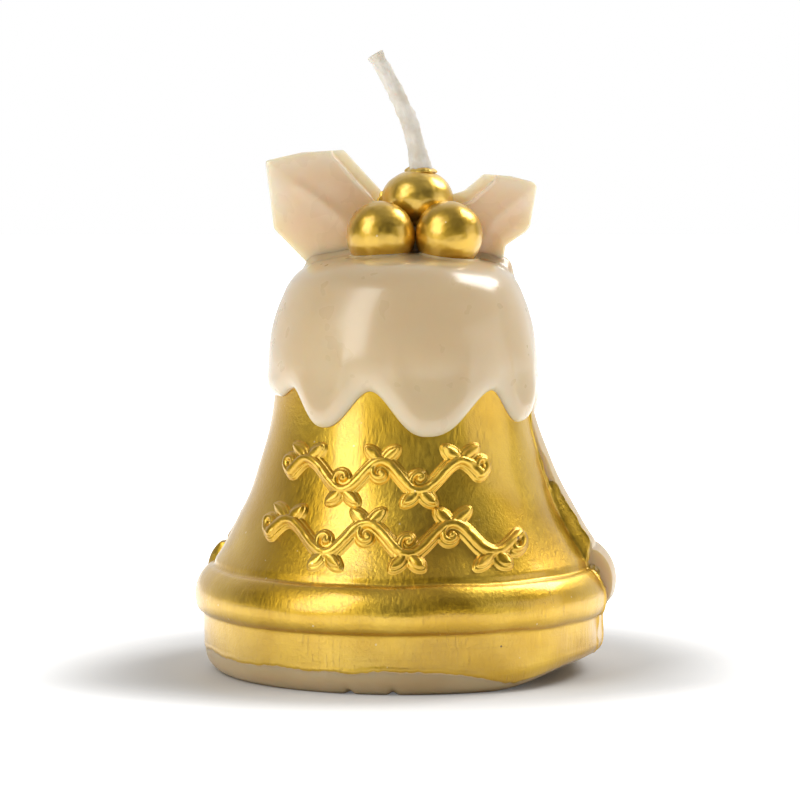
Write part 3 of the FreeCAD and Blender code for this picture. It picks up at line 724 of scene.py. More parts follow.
@dataclass
class Casting:
    """Ivory wax bell cast in two halves; the back half stands proud and its belt sits higher."""

    foot_radius: float = 25.0
    edge_height: float = 2.6
    edge_round: float = 3.0
    base_radius: float = 27.1
    belt_bottom: float = 8.1
    belt_lip: float = 0.8
    belt_lip_rise: float = 0.4
    belt_top: float = 14.4
    belt_top_radius: float = 26.0
    belt_round: float = 4.8
    neck_height: float = 36.0
    neck_radius: float = 17.6
    flare_round: float = 50.0
    crown_side: float = 42.0
    crown_radius: float = 16.9
    crown_shoulder: float = 11.6
    crown_flat: float = 8.0
    crown_drop: float = 0.9
    seam_right: float = 74.0
    seam_left: float = -108.0
    back_lift: float = 2.0
    back_proud: float = 0.9
    flash: float = 0.28
    crease_depth: float = 0.32
    foot_lift: float = 2.0
    lift_rise: tuple[float, float] = (26.0, 62.0)
    lift_fall: tuple[float, float] = (122.0, 92.0)
    lift_height: float = 6.5
    proud_fade: float = 0.65
    proud_fade_span: tuple[float, float] = (0.2, 0.9)
    nicks: tuple[float, float] = (-16.0, -3.0)
    plug_gap: float = 0.05
    counts: tuple[int, ...] = (12, 26, 5, 36, 104, 26, 46, 26)

    def __post_init__(self) -> None:
        """Work out both halves' outlines and their outward directions."""
        self.crown_top = node_box("bell_body")[1][2]
        self.front = self._outline(0.0)
        self.back = self._outline(self.back_lift)

    def _outline(self, lift: float) -> Array:
        """Rows of radius, height and outward direction from the foot to the crown's top."""
        corners = [(self.foot_radius, 0.0), (self.base_radius, self.edge_height),
                   (self.base_radius, self.belt_bottom + lift),
                   (self.base_radius + self.belt_lip, self.belt_bottom + self.belt_lip_rise + lift),
                   (self.belt_top_radius, self.belt_top + lift), (self.neck_radius, self.neck_height),
                   (self.crown_radius, self.crown_side),
                   (self.crown_flat, self.crown_top - self.crown_drop), (0.0, self.crown_top)]
        dome = (self.crown_flat ** 2 + self.crown_drop ** 2) / (2.0 * self.crown_drop)
        rounds = {0: self.edge_round, 3: self.belt_round, 4: -self.flare_round,
                  6: self.crown_shoulder, 7: dome}
        path = soften(profile(corners, rounds, self.counts), 4)
        run = np.gradient(path, axis=0)
        run /= np.linalg.norm(run, axis=1, keepdims=True)
        return np.column_stack([path, run[:, 1], -run[:, 0]])

    def at_height(self, height: float) -> float:
        """Sample number of the front outline at a height."""
        return float(np.interp(height, self.front[:, 1], np.arange(len(self.front))))

    def surface(self, azimuth: Array, along: Array, out: Array | float = 0.0) -> Array:
        """Points of the casting's skin.

        The outline's radius and height at sample number along, mixed from the front half to the
        back half across each seam, plus a thin ridge on the seams and a soft unevenness. The foot
        rises a little off the table on the right.

        Args:
            azimuth: Degrees.
            along: Sample number on the outline.
            out: Distance outside the wax in millimetres.

        Returns:
            Points in millimetres.
        """
        azimuth, along = np.broadcast_arrays(np.asarray(azimuth, float), np.asarray(along, float))
        samples = np.arange(len(self.front))
        share = smoothstep(self.seam_right - 0.7, self.seam_right + 0.7, azimuth)
        share = share + smoothstep(-self.seam_left - 0.7, -self.seam_left + 0.7, -azimuth)
        mixed = [np.interp(along, samples, self.front[:, k]) * (1.0 - share)
                 + np.interp(along, samples, self.back[:, k]) * share for k in range(4)]
        radius, height, out_radius, out_height = mixed
        rough = polar(azimuth, radius, height)
        below_crown = 1.0 - smoothstep(self.neck_height, self.crown_side, height)
        push = 0.10 * waviness(rough, 11.0, 5) * smoothstep(0.0, 4.0, height)
        over_foot = smoothstep(0.0, 3.0, height)
        swell = smoothstep(38.0, 20.0, height) * smoothstep(8.0, 10.5, height)
        behind = ((azimuth - self.seam_right) % 360.0) / (self.seam_left + 360.0 - self.seam_right)
        fade = 1.0 - self.proud_fade * smoothstep(*self.proud_fade_span, behind)
        push = push + self.back_proud * share * swell * fade
        crease = float(sum(self.counts[:4]))
        push = push - self.crease_depth * hump(along - crease, 2.2)
        for seam in (self.seam_right, self.seam_left):
            ridge = hump((azimuth - seam) * np.radians(radius), 0.42)
            lump = 0.75 + 0.5 * waviness(rough, 3.5, 8)
            push = push + self.flash * ridge * below_crown * over_foot * lump
        for nick in self.nicks:
            push = push - 0.45 * hump(azimuth - nick, 1.1) * hump(height, 0.9)
        push = push + out
        lift = self.foot_lift * smoothstep(*self.lift_rise, azimuth)
        lift = lift * smoothstep(*self.lift_fall, azimuth) * smoothstep(self.lift_height, 0.0, height)
        return polar(azimuth, radius + out_radius * push, height + out_height * push + lift)

    def build(self) -> bpy.types.Object:
        """Mesh of the whole casting, with a shallow seat for the base plug."""
        azimuth = spread(-180.0, 180.0, 421, [(self.seam_right, 2.5, 5.0), (self.seam_left, 2.5, 5.0),
                                              (-10.0, 9.0, 1.5)])[:-1]
        along = np.linspace(0.0, len(self.front) - 1.0, 200)[:, None]
        outside = self.surface(azimuth[None, :], along)
        outside[..., 2] = np.maximum(outside[..., 2], 0.0)
        plug_low, plug_high = node_box("base_plug")
        centre = (plug_low + plug_high) / 2.0
        plug_radius = (plug_high[0] - plug_low[0]) / 2.0
        rim = outside[0] * [1.0, 1.0, 0.0]
        share = np.linspace(0.94, 0.08, 22)[:, None, None]
        seat = polar(azimuth, plug_radius + self.plug_gap, 0.0) + [centre[0], centre[1], 0.0]
        under = seat + (rim - seat) * share
        under[..., 2] = 0.12 * smoothstep(0.0, 0.2, 1.0 - share[..., 0]) \
            * (1.0 + 0.5 * waviness(under, 8.0, 21)) + outside[0, :, 2] * share[..., 0] ** 2
        wall = seat + np.array([0.0, 0.0, 1.0]) * np.array([0.15, 0.5, plug_high[2] + 0.03])[:, None, None]
        floor = np.repeat(centre[None, None, :2], len(azimuth), axis=1)
        floor = np.concatenate([floor, np.full((1, len(azimuth), 1), plug_high[2] + 0.03)], axis=2)
        rings = np.concatenate([outside[::-1], under, wall, floor])
        return fit_out(make_lathe("bell_casting", rings), "candle", "ivory_wax", IVORY_WAX, "bell_body")


@dataclass
class GoldCoat:
    """Gold paint over the front of the casting, with ragged lower and right edges."""

    casting: Casting
    film: float = 0.15
    left: float = -105.6
    right: float = 74.0
    bottom: float = 3.0
    columns: int = 360
    rows: int = 156

    def build(self) -> bpy.types.Object:
        """Mesh of the paint: its edges wander, and its thickness fades to nothing there."""
        across = spread(0.0, 1.0, self.columns, [(1.0, 0.012, 3.0), (0.955, 0.03, 2.0),
                                                 (0.0, 0.01, 1.0)])[None, :]
        up = spread(0.0, 1.0, self.rows, [(0.0, 0.02, 2.5), (0.12, 0.03, 0.5)])[:, None]
        height = self.bottom + up * (self.casting.crown_side - self.bottom)
        edge = polar(np.full_like(height, self.right), self.casting.base_radius, height)
        right = self.right + self._spill(height)
        right = right + 0.35 * waviness(edge, 5.0, 31) + 0.12 * waviness(edge, 1.3, 32)
        left = self.left - 7.0 * smoothstep(24.0, 19.0, height)
        azimuth = left + across * (right - left)
        foot = polar(azimuth, self.casting.base_radius, 0.0)
        ragged = self.bottom + 0.16 * waviness(foot, 7.0, 33) + 0.07 * waviness(foot, 1.4, 34)
        ragged = ragged - 1.9 * smoothstep(4.0, 38.0, azimuth)
        low = np.interp(ragged, self.casting.front[:, 1], np.arange(len(self.casting.front)))
        along = low + up * (self.casting.at_height(self.casting.crown_side) - low)
        ground = self.casting.surface(azimuth, along)
        around = np.radians(azimuth) * self.casting.base_radius
        from_right = np.radians(right - azimuth) * self.casting.base_radius
        from_left = np.radians(azimuth - left) * self.casting.base_radius
        from_foot = ground[..., 2] - ragged
        gap = np.minimum(np.minimum(from_right, from_left), from_foot)
        film = self.film * (1.0 - np.exp(-np.clip(gap, 0.0, None) / 0.22)) - 0.01
        film = film + 0.20 * hump(from_right - 0.5, 0.28) + 0.05 * hump(from_foot - 0.45, 0.3)
        front = self.casting.surface(azimuth, along, film)
        back = self.casting.surface(azimuth, along, -0.25)
        piece = make_slab("gold_paint_coat", front, back)
        thin = np.maximum(hump(from_foot - 0.05, 0.25), 0.8 * hump(from_left, 1.2))
        thin = np.maximum(thin, 0.75 * hump(from_right, 0.5))
        length = np.interp(along, np.arange(len(self.casting.front)), self._lengths())
        for name, values in (("around", around), ("along", length), ("thin", thin)):
            set_attribute(piece, name, np.concatenate([values.ravel(), values.ravel()]))
        return fit_out(piece, "candle", "gold_paint", GOLD_PAINT, "gold_coat")

    def _spill(self, height: Array) -> Array:
        """Degrees that the paint runs past the seam, more towards the foot."""
        step = 1.0 * smoothstep(28.0, 26.0, height) - 0.9 * smoothstep(19.0, 17.5, height)
        return step + 9.5 * smoothstep(9.6, 8.6, height) + 2.0 * hump(height - 5.4, 1.2)

    def _lengths(self) -> Array:
        """Distance along the front outline from the foot to each sample."""
        steps = np.linalg.norm(np.diff(self.casting.front[:, :2], axis=0), axis=1)
        return np.concatenate([[0.0], np.cumsum(steps)])


@dataclass
class VineRelief:
    """One row of raised gold vine: a waved stem, leaves on its crests, curls and buds inside."""

    casting: Casting
    film: float
    node: str
    middle: float
    chord: float
    waves: int
    shift: float
    swing: float = 1.9
    turn: float = -6.0
    stem: float = 0.60
    plinth: float = 0.38
    bead: float = 0.62
    step: float = 0.085
    margin: float = 1.5

    def strokes(self) -> tuple[Array, Array, Array]:
        """Samples of every stroke with their half widths and heights over the plinth."""
        start = self.shift - self.chord * self.waves / 2.0
        length = self.chord * self.waves
        x = np.linspace(0.0, length, self.waves * 60)
        stem = np.column_stack([start + x, self.swing * np.sin(math.pi * x / self.chord)])
        strokes = [(stem, np.full(len(x), self.stem), np.full(len(x), self.bead))]
        for number in range(self.waves):
            up = 1.0 if number % 2 == 0 else -1.0
            crest = np.array([start + (number + 0.5) * self.chord, up * self.swing])
            strokes += self._leaf(crest, up, 40.0) + self._leaf(crest, up, 140.0)
            if 0 < number < self.waves - 1:
                strokes += self._curl(crest, up)
        for end, way in ((start, -1.0), (start + length, 1.0 if self.waves % 2 else -1.0)):
            strokes += self._tail(end, math.copysign(1.0, end - start - 0.1), way)
        return tuple(np.concatenate([stroke[k] for stroke in strokes]) for k in range(3))

    def _curl(self, crest: Array, up: float) -> list[tuple[Array, Array, Array]]:
        """Spiral that leaves the crest and winds into the hollow round a bud."""
        share = np.linspace(0.0, 1.0, 60)
        turn = up * (math.pi / 2.0 + share * 1.55 * math.pi)
        radius = 1.32 * (1.0 - share) ** 0.75 + 0.1
        centre = crest - [0.0, up * 1.45]
        line = centre + np.column_stack([np.cos(turn), np.sin(turn)]) * radius[:, None]
        width = 0.42 - 0.08 * share
        bud = (centre[None, :], np.array([0.5]), np.array([self.bead]))
        return [(line, width, np.full(60, self.bead * 0.75)), bud]

    def _leaf(self, crest: Array, up: float, lean: float) -> list[tuple[Array, Array, Array]]:
        """Pointed leaf: half width 0.62 sin(pi t)^0.8 along its vein."""
        share = np.linspace(0.04, 0.98, 26)
        way = np.array([math.cos(math.radians(lean)), up * math.sin(math.radians(lean))])
        line = crest + way * (0.15 + 2.55 * share[:, None])
        width = 0.62 * np.sin(math.pi * share) ** 0.8 + 0.04
        return [(line, width, np.full(26, self.bead * 0.7))]

    def _tail(self, end: float, side: float, way: float) -> list[tuple[Array, Array, Array]]:
        """Curl that finishes the stem: it goes on past the end and turns back inside."""
        share = np.linspace(0.0, 1.0, 50)
        turn = -math.pi / 2.0 + share * 1.5 * math.pi
        radius = 1.15 * (1.0 - 0.55 * share)
        flip = way if side < 0 else -way
        line = np.column_stack([end + side * (np.cos(turn) * radius) * 0.8 - side * 0.1,
                                flip * -1.0 * (np.sin(turn) * radius + 1.15)])
        return [(line, 0.5 - 0.14 * share, np.full(50, self.bead * 0.9))]

    def build(self) -> bpy.types.Object:
        """Mesh of the relief: a height field over the paint, cut close round the strokes.

        With e the distance outside the nearest stroke and d the distance from its middle, the
        height is a plinth that falls away over e = 0.2 to 0.45, plus bead * sqrt(1 - (d / w)^2).
        """
        samples, width, bead = self.strokes()
        low, high = samples.min(0) - self.margin, samples.max(0) + self.margin
        x = np.arange(low[0], high[0], self.step)
        z = np.arange(low[1], high[1], self.step)
        flat = np.stack(np.meshgrid(x, z), axis=-1)
        distance, chosen = nearest(flat.reshape(-1, 2), samples, width)
        distance, chosen = distance.reshape(flat.shape[:2]), chosen.reshape(flat.shape[:2])
        outside = distance - width[chosen]
        plinth = self.plinth * smoothstep(0.46, 0.16, outside) - 0.12 * smoothstep(0.4, 0.6, outside)
        inside = np.clip(1.0 - (distance / width[chosen]) ** 2, 0.0, None)
        rise = plinth + bead[chosen] * np.sqrt(inside)
        rise = rise + 0.03 * waviness(np.dstack([flat, flat[..., :1] * 0]), 1.2, 44) * (inside > 0)
        height = self.middle + flat[..., 1]
        along = np.interp(height, self.casting.front[:, 1], np.arange(len(self.casting.front)))
        radius = np.interp(height, self.casting.front[:, 1], self.casting.front[:, 0]) + self.film
        azimuth = np.degrees(np.arcsin(np.clip(flat[..., 0] / radius, -0.99, 0.99))) + self.turn
        front = self.casting.surface(azimuth, along, self.film + rise)
        back = self.casting.surface(azimuth, along, -0.3)
        near = outside < 0.55
        keep = near[:-1, :-1] | near[1:, :-1] | near[:-1, 1:] | near[1:, 1:]
        piece = make_slab(f"{self.node}_relief", front, back, keep)
        return fit_out(piece, "candle", "gold_paint", RELIEF_GOLD, self.node)


# ---------------------------------------------------------------- cap

SCALLOPS = ((-92.0, 38.3), (-69.0, 37.6), (-55.0, 38.9), (-35.5, 34.0), (-14.5, 38.9), (10.0, 32.95),
            (42.0, 38.8), (58.0, 34.4), (82.0, 37.8), (115.0, 33.6), (141.0, 38.5), (168.0, 33.1),
            (196.0, 38.7), (222.0, 34.1), (247.0, 38.7), (268.0, 38.3))


@dataclass
class SnowCap:
    """Cream wax poured over the crown: a dome that ends in a thick scalloped lip."""

    casting: Casting
    top: float = 56.85
    flat_radius: float = 11.5
    flat_drop: float = 1.25
    shoulder: tuple[float, float] = (16.2, 51.3)
    side: tuple[float, float] = (18.55, 40.5)
    skirt: tuple[float, float] = (19.6, 30.0)
    lip_height: float = 2.3
    boss: tuple[float, float] = (2.0, 2.3)
    boss_radius: float = 3.6
    boss_height: float = 3.6
    columns: int = 420

    def __post_init__(self) -> None:
        """Work out the dome's outline and its distance from the top."""
        corners = [(0.0, self.top), (self.flat_radius, self.top - self.flat_drop), self.shoulder,
                   self.side, self.skirt]
        dome = (self.flat_radius ** 2 + self.flat_drop ** 2) / (2.0 * self.flat_drop)
        path = soften(profile(corners, {0: -dome, 1: -7.0, 2: -26.0}, (80, 70, 80, 80)), 40)
        self.path = path
        run = np.gradient(path, axis=0)
        run /= np.linalg.norm(run, axis=1, keepdims=True)
        self.outward = np.column_stack([-run[:, 1], run[:, 0]])
        self.length = np.concatenate([[0.0], np.cumsum(np.linalg.norm(np.diff(path, axis=0), axis=1))])

    def edge(self, azimuth: Array) -> Array:
        """Height of the scalloped edge: round drips between narrower notches.

        From a drip's height to a notch's, the rise is (3 t^2 - 2 t^3)^1.35 at the share t of the way.
        """
        places, heights = (np.array(column) for column in zip(*SCALLOPS))
        around = (np.asarray(azimuth) - places[0]) % 360.0 + places[0]
        before = np.clip(np.searchsorted(places, around, side="right") - 1, 0, len(places) - 2)
        share = (around - places[before]) / (places[before + 1] - places[before])
        share = share * share * (3.0 - 2.0 * share)
        first, last = heights[before], heights[before + 1]
        raised = np.where(last > first, share, 1.0 - share) ** 1.35
        return np.minimum(first, last) + np.abs(last - first) * raised

    def build(self, leaves: Sequence["Leaf"], berries: Sequence["Berry"]) -> bpy.types.Object:
        """Mesh of the cap.

        Down each azimuth, the outside follows the dome, then rounds over the lip like a quarter
        ellipse to the paint and turns up inside. Wax is added along the roots of the leaves,
        round the berries and under the top berry.
        """
        azimuth = np.linspace(-180.0, 180.0, self.columns + 1)[:-1]
        edge = self.edge(azimuth)
        slope = np.gradient(np.concatenate([edge[-1:], edge, edge[:1]]))[1:-1]
        slope = slope / (np.radians(360.0 / self.columns) * self.side[0])
        steep = np.sqrt(1.0 + slope ** 2)
        end = np.interp(-edge, -self.path[:, 1], self.length)
        down = spread(0.0, 1.0, 176, [(1.0, 0.06, 3.0), (0.2, 0.12, 0.8)])[:, None]
        at = down * end
        away = (end - at) / steep
        radius, height, out_r, out_z = (np.interp(at, self.length, column) for column in
                                        (*self.path.T, *self.outward.T))
        inner = self._inner_radius(edge)
        lip = np.interp(end, self.length, self.path[:, 0]) - inner
        near = np.clip(1.0 - away / self.lip_height, 0.0, 1.0)
        draw_in = lip * (1.0 - np.sqrt(1.0 - near ** 2 * 0.999))
        drip = smoothstep(37.5, 34.5, edge) * hump(away - 2.6, 2.4)
        flat_points = polar(azimuth, radius, height)
        push = 0.22 * drip - draw_in + 0.10 * waviness(flat_points, 12.0, 51) * smoothstep(0, 5, at)
        push = push + self._added_wax(flat_points, leaves, berries)
        outside = polar(azimuth, radius + out_r * push, height + out_z * push)
        turn_up = np.linspace(0.15, 1.0, 12)[:, None]
        inside_height = edge + turn_up ** 1.5 * (52.0 - edge)
        inside_radius = np.interp(inside_height, self.casting.front[:, 1], self.casting.front[:, 0]) - 0.15
        inside = polar(azimuth, inside_radius, inside_height)
        apex = np.zeros((1, self.columns, 3)) + [0.0, 0.0, 52.5]
        rings = np.concatenate([outside, inside, apex])
        piece = make_lathe("poured_cap", rings)
        # Painted light: the lip, and the inside under it, take the paler edge colour, as light showing
        # through thin wax.
        rim = np.concatenate([hump(away, 1.5), np.ones_like(inside_height), np.ones((1, self.columns))])
        set_attribute(piece, "rim", np.concatenate([[0.0], rim[1:-1].ravel(), [1.0]]))
        return fit_out(piece, "candle", "cream_wax", CREAM_WAX, "snow_cap")

    def _inner_radius(self, height: Array) -> Array:
        """Radius of the painted surface that the lip comes down to."""
        return np.interp(height, self.casting.front[:, 1], self.casting.front[:, 0]) + 0.1

    def _added_wax(self, points: Array, leaves: Sequence["Leaf"], berries: Sequence["Berry"]) -> Array:
        """Thickness of extra wax: fillets at the roots, beads round the berries and the boss."""
        on_top = smoothstep(48.0, 51.0, points[..., 2])
        plan = points[..., :2]
        extra = np.zeros(plan.shape[:2])
        for leaf in leaves:
            start, end = leaf.root_line()
            extra = np.maximum(extra, 1.5 * hump(segment_distance(plan, start, end), 1.25))
        gap = np.linalg.norm(plan - np.array(self.boss), axis=-1)
        extra = np.maximum(extra, self.boss_height * smoothstep(self.boss_radius + 1.2,
                                                                self.boss_radius - 1.0, gap))
        for berry in berries:
            ring = np.linalg.norm(plan - berry.centre[:2], axis=-1) - berry.contact
            extra = extra + 0.24 * hump(ring - 0.14, 0.24)
        return extra * on_top


# ---------------------------------------------------------------- leaves

@dataclass
class Leaf:
    """Thin holly leaf: bevelled edges, a raised vein and an upper inner edge cut as a facet."""

    side: Side
    start: tuple[float, float, float]
    width: float
    rise: float
    turn: float
    outline: tuple[tuple[float, float], ...]
    middle: tuple[float, float]
    vein: tuple[tuple[float, float], ...]
    facet: tuple[tuple[float, float], ...]
    sink: float = 1.4
    half: float = 0.95

    @property
    def name(self) -> str:
        """Name of the piece's CAD node."""
        return f"leaf_{self.side.name.lower()}"

    def _scaled(self, shares: Sequence[tuple[float, float]]) -> Array:
        """Points in the leaf's plane from shares of its width and rise."""
        points = np.array(shares, float) * [self.width, self.rise]
        points[:, 1] = np.where(points[:, 1] == 0.0, -self.sink, points[:, 1])
        return points

    def root_line(self) -> tuple[Array, Array]:
        """Ends of the root seen from above."""
        feet = [point for point in self.outline if point[1] == 0.0]
        ends = self._placed(np.array([[x * self.width, 0.0, 0.0] for x, _ in feet]))
        return ends[0, :2], ends[1, :2]

    def _placed(self, local: Array) -> Array:
        """Points from the leaf's own axes (across, out of its plane, up) to the frame."""
        return turned_about_axis(local, self.turn) + np.array(self.start)

    def build(self) -> bpy.types.Object:
        """Mesh of the leaf: rays from its middle to its outline, front and back.

        The half thickness is half * (1 - 0.5 p^2) * sqrt(1 - p^14) at the share p of a ray, with
        a ridge along the vein and a slope that thins the leaf towards the facet's edge.
        """
        corners = self._scaled(self.outline)
        centre = self._scaled([self.middle])[0]
        angle = np.linspace(0.0, 2.0 * math.pi, 361)[:-1]
        ray = np.column_stack([np.cos(angle), np.sin(angle)])
        reach = self._reach(corners - centre, ray)
        for _ in range(3):
            reach = (np.roll(reach, 1) + 2.0 * reach + np.roll(reach, -1)) / 4.0
        share = np.sin(np.linspace(0.0, 1.0, 60) * math.pi / 2.0)[:, None]
        plane = centre + share[..., None] * reach[None, :, None] * ray[None]
        half = self.half * (1.0 - 0.5 * share ** 2) * np.sqrt(np.clip(1.0 - share ** 14, 0.0, 1.0))
        half = np.broadcast_to(half, plane.shape[:2]).copy()
        vein = self._scaled(self.vein)
        ridge = np.zeros_like(half)
        for first, second in zip(vein[:-1], vein[1:]):
            ridge = np.maximum(ridge, hump(segment_distance(plane, first, second), 1.0))
        fade = 1.0 - share ** 6
        facet = self._scaled(self.facet)
        cut = np.full(half.shape, 9.0)
        for first, second in zip(facet[:-1], facet[1:]):
            cut = np.minimum(cut, segment_distance(plane, first, second))
        bevel = (0.42 * smoothstep(1.75, 1.50, cut) - 0.14 * hump(cut - 1.80, 0.18)) * np.sqrt(
            np.clip(1.0 - share ** 14, 0.0, 1.0))
        bend = 0.35 * waviness(np.dstack([plane, plane[..., :1] * 0.0]), 14.0, 61)
        front = half + 0.20 * ridge * fade - np.minimum(bevel, half * 0.8)
        back = half + 0.18 * ridge * fade
        faces = []
        for depth in (-front + bend, back[::-1] + bend[::-1]):
            grid = plane if len(faces) == 0 else plane[::-1]
            faces.append(np.stack([grid[..., 0], depth, grid[..., 1]], axis=-1))
        rings = self._placed(np.concatenate([faces[0], faces[1][1:]]))
        piece = make_lathe(f"{self.name}_blade", rings)
        # Painted light: the rim and the upper leaf are painted towards the paler edge colour, as light
        # through thin wax; the root keeps the plain tint.
        rim = np.broadcast_to(smoothstep(0.45, 1.0, share), plane.shape[:2])
        high = smoothstep(0.15, 0.75, plane[..., 1] / self.rise)
        painted_light_share = rim * (0.35 + 0.65 * high) * 0.85 + 0.35 * high
        both = np.concatenate([painted_light_share, painted_light_share[::-1][1:]])
        set_attribute(piece, "rim", np.concatenate([[painted_light_share[0, 0]], both[1:-1].ravel(), [painted_light_share[0, 0]]]))
        return fit_out(piece, "candle", "leaf_wax", LEAF_WAX, self.name)

    @staticmethod
    def _reach(corners: Array, ray: Array) -> Array:
        """Distance from the middle to the outline along each ray."""
        edge = np.roll(corners, -1, axis=0) - corners
        bottom = ray[:, None, 0] * edge[None, :, 1] - ray[:, None, 1] * edge[None, :, 0]
        bottom = np.where(np.abs(bottom) < 1e-9, 1e-9, bottom)
        along_ray = (corners[:, 0] * edge[:, 1] - corners[:, 1] * edge[:, 0])[None] / bottom
        along_edge = (corners[None, :, 0] * ray[:, None, 1] - corners[None, :, 1] * ray[:, None, 0]) / bottom
        hit = (along_ray > 0) & (along_edge >= -1e-6) & (along_edge <= 1.0 + 1e-6)
        return np.where(hit, along_ray, np.inf).min(axis=1)


LEAVES = (
    Leaf(Side.LEFT, (-3.0, 3.6, 55.4), 16.0, 15.4, 8.0,
         outline=((0, 0), (-0.56, 0), (-0.925, 0.30), (-0.97, 0.64), (-1.0, 0.90), (-0.69, 0.975),
                  (-0.325, 1.0), (0, 0.64)),
         middle=(-0.48, 0.52), vein=((-0.72, 0.66), (-0.24, 0.32), (-0.15, 0.12)),
         facet=((-0.325, 1.0), (0, 0.64))),
    Leaf(Side.RIGHT, (5.6, 3.6, 55.4), 12.8, 12.1, -8.0,
         outline=((0, 0), (0, 0.74), (0.22, 0.81), (0.43, 1.0), (0.72, 0.975), (0.96, 0.91),
                  (1.0, 0.86), (0.93, 0.41), (0.88, 0.34), (0.67, 0.19), (0.62, 0)),
         middle=(0.46, 0.50), vein=((0.84, 0.72), (0.55, 0.50), (0.36, 0.16)),
         facet=((0, 0.74), (0.22, 0.81), (0.43, 1.0))),
)


# ---------------------------------------------------------------- berries and wick

@dataclass
class Berry:
    """Gold berry: a slightly lumpy ball that sits in a thin bead of wax."""

    node: str
    seat: float
    seed: int
    flatten: float = 1.0
    plump: float = 1.02

    def __post_init__(self) -> None:
        """Take the berry's place and size from its CAD node."""
        low, high = node_box(self.node)
        self.radius = (high[0] - low[0]) / 2.0
        self.centre = np.array([(low[0] + high[0]) / 2.0, (low[1] + high[1]) / 2.0,
                                high[2] - self.radius * self.flatten])
        drop = min(self.centre[2] - self.seat, self.radius * 0.98)
        self.contact = math.sqrt(max(self.radius ** 2 - drop ** 2, 0.0))

    def build(self) -> bpy.types.Object:
        """Mesh of the berry: rings of a ball with an unevenness of about a percent."""
        fall = np.linspace(0.0, math.pi, 97)[:, None]
        around = np.linspace(0.0, 360.0, 161)[None, :-1]
        ball = polar(around, np.sin(fall), np.broadcast_to(np.cos(fall), (97, 160)))
        swell = 1.0 + 0.010 * waviness(ball * self.radius, 5.0, self.seed)
        swell = swell + 0.003 * waviness(ball * self.radius, 1.2, self.seed + 1)
        shape = ball * swell[..., None] * [1.0, 1.0, self.flatten]
        shape = shape * self.radius * self.plump
        piece = make_lathe(f"{self.node}_ball", shape + self.centre)
        return fit_out(piece, "candle", "gold_berry", BERRY_GOLD, self.node)


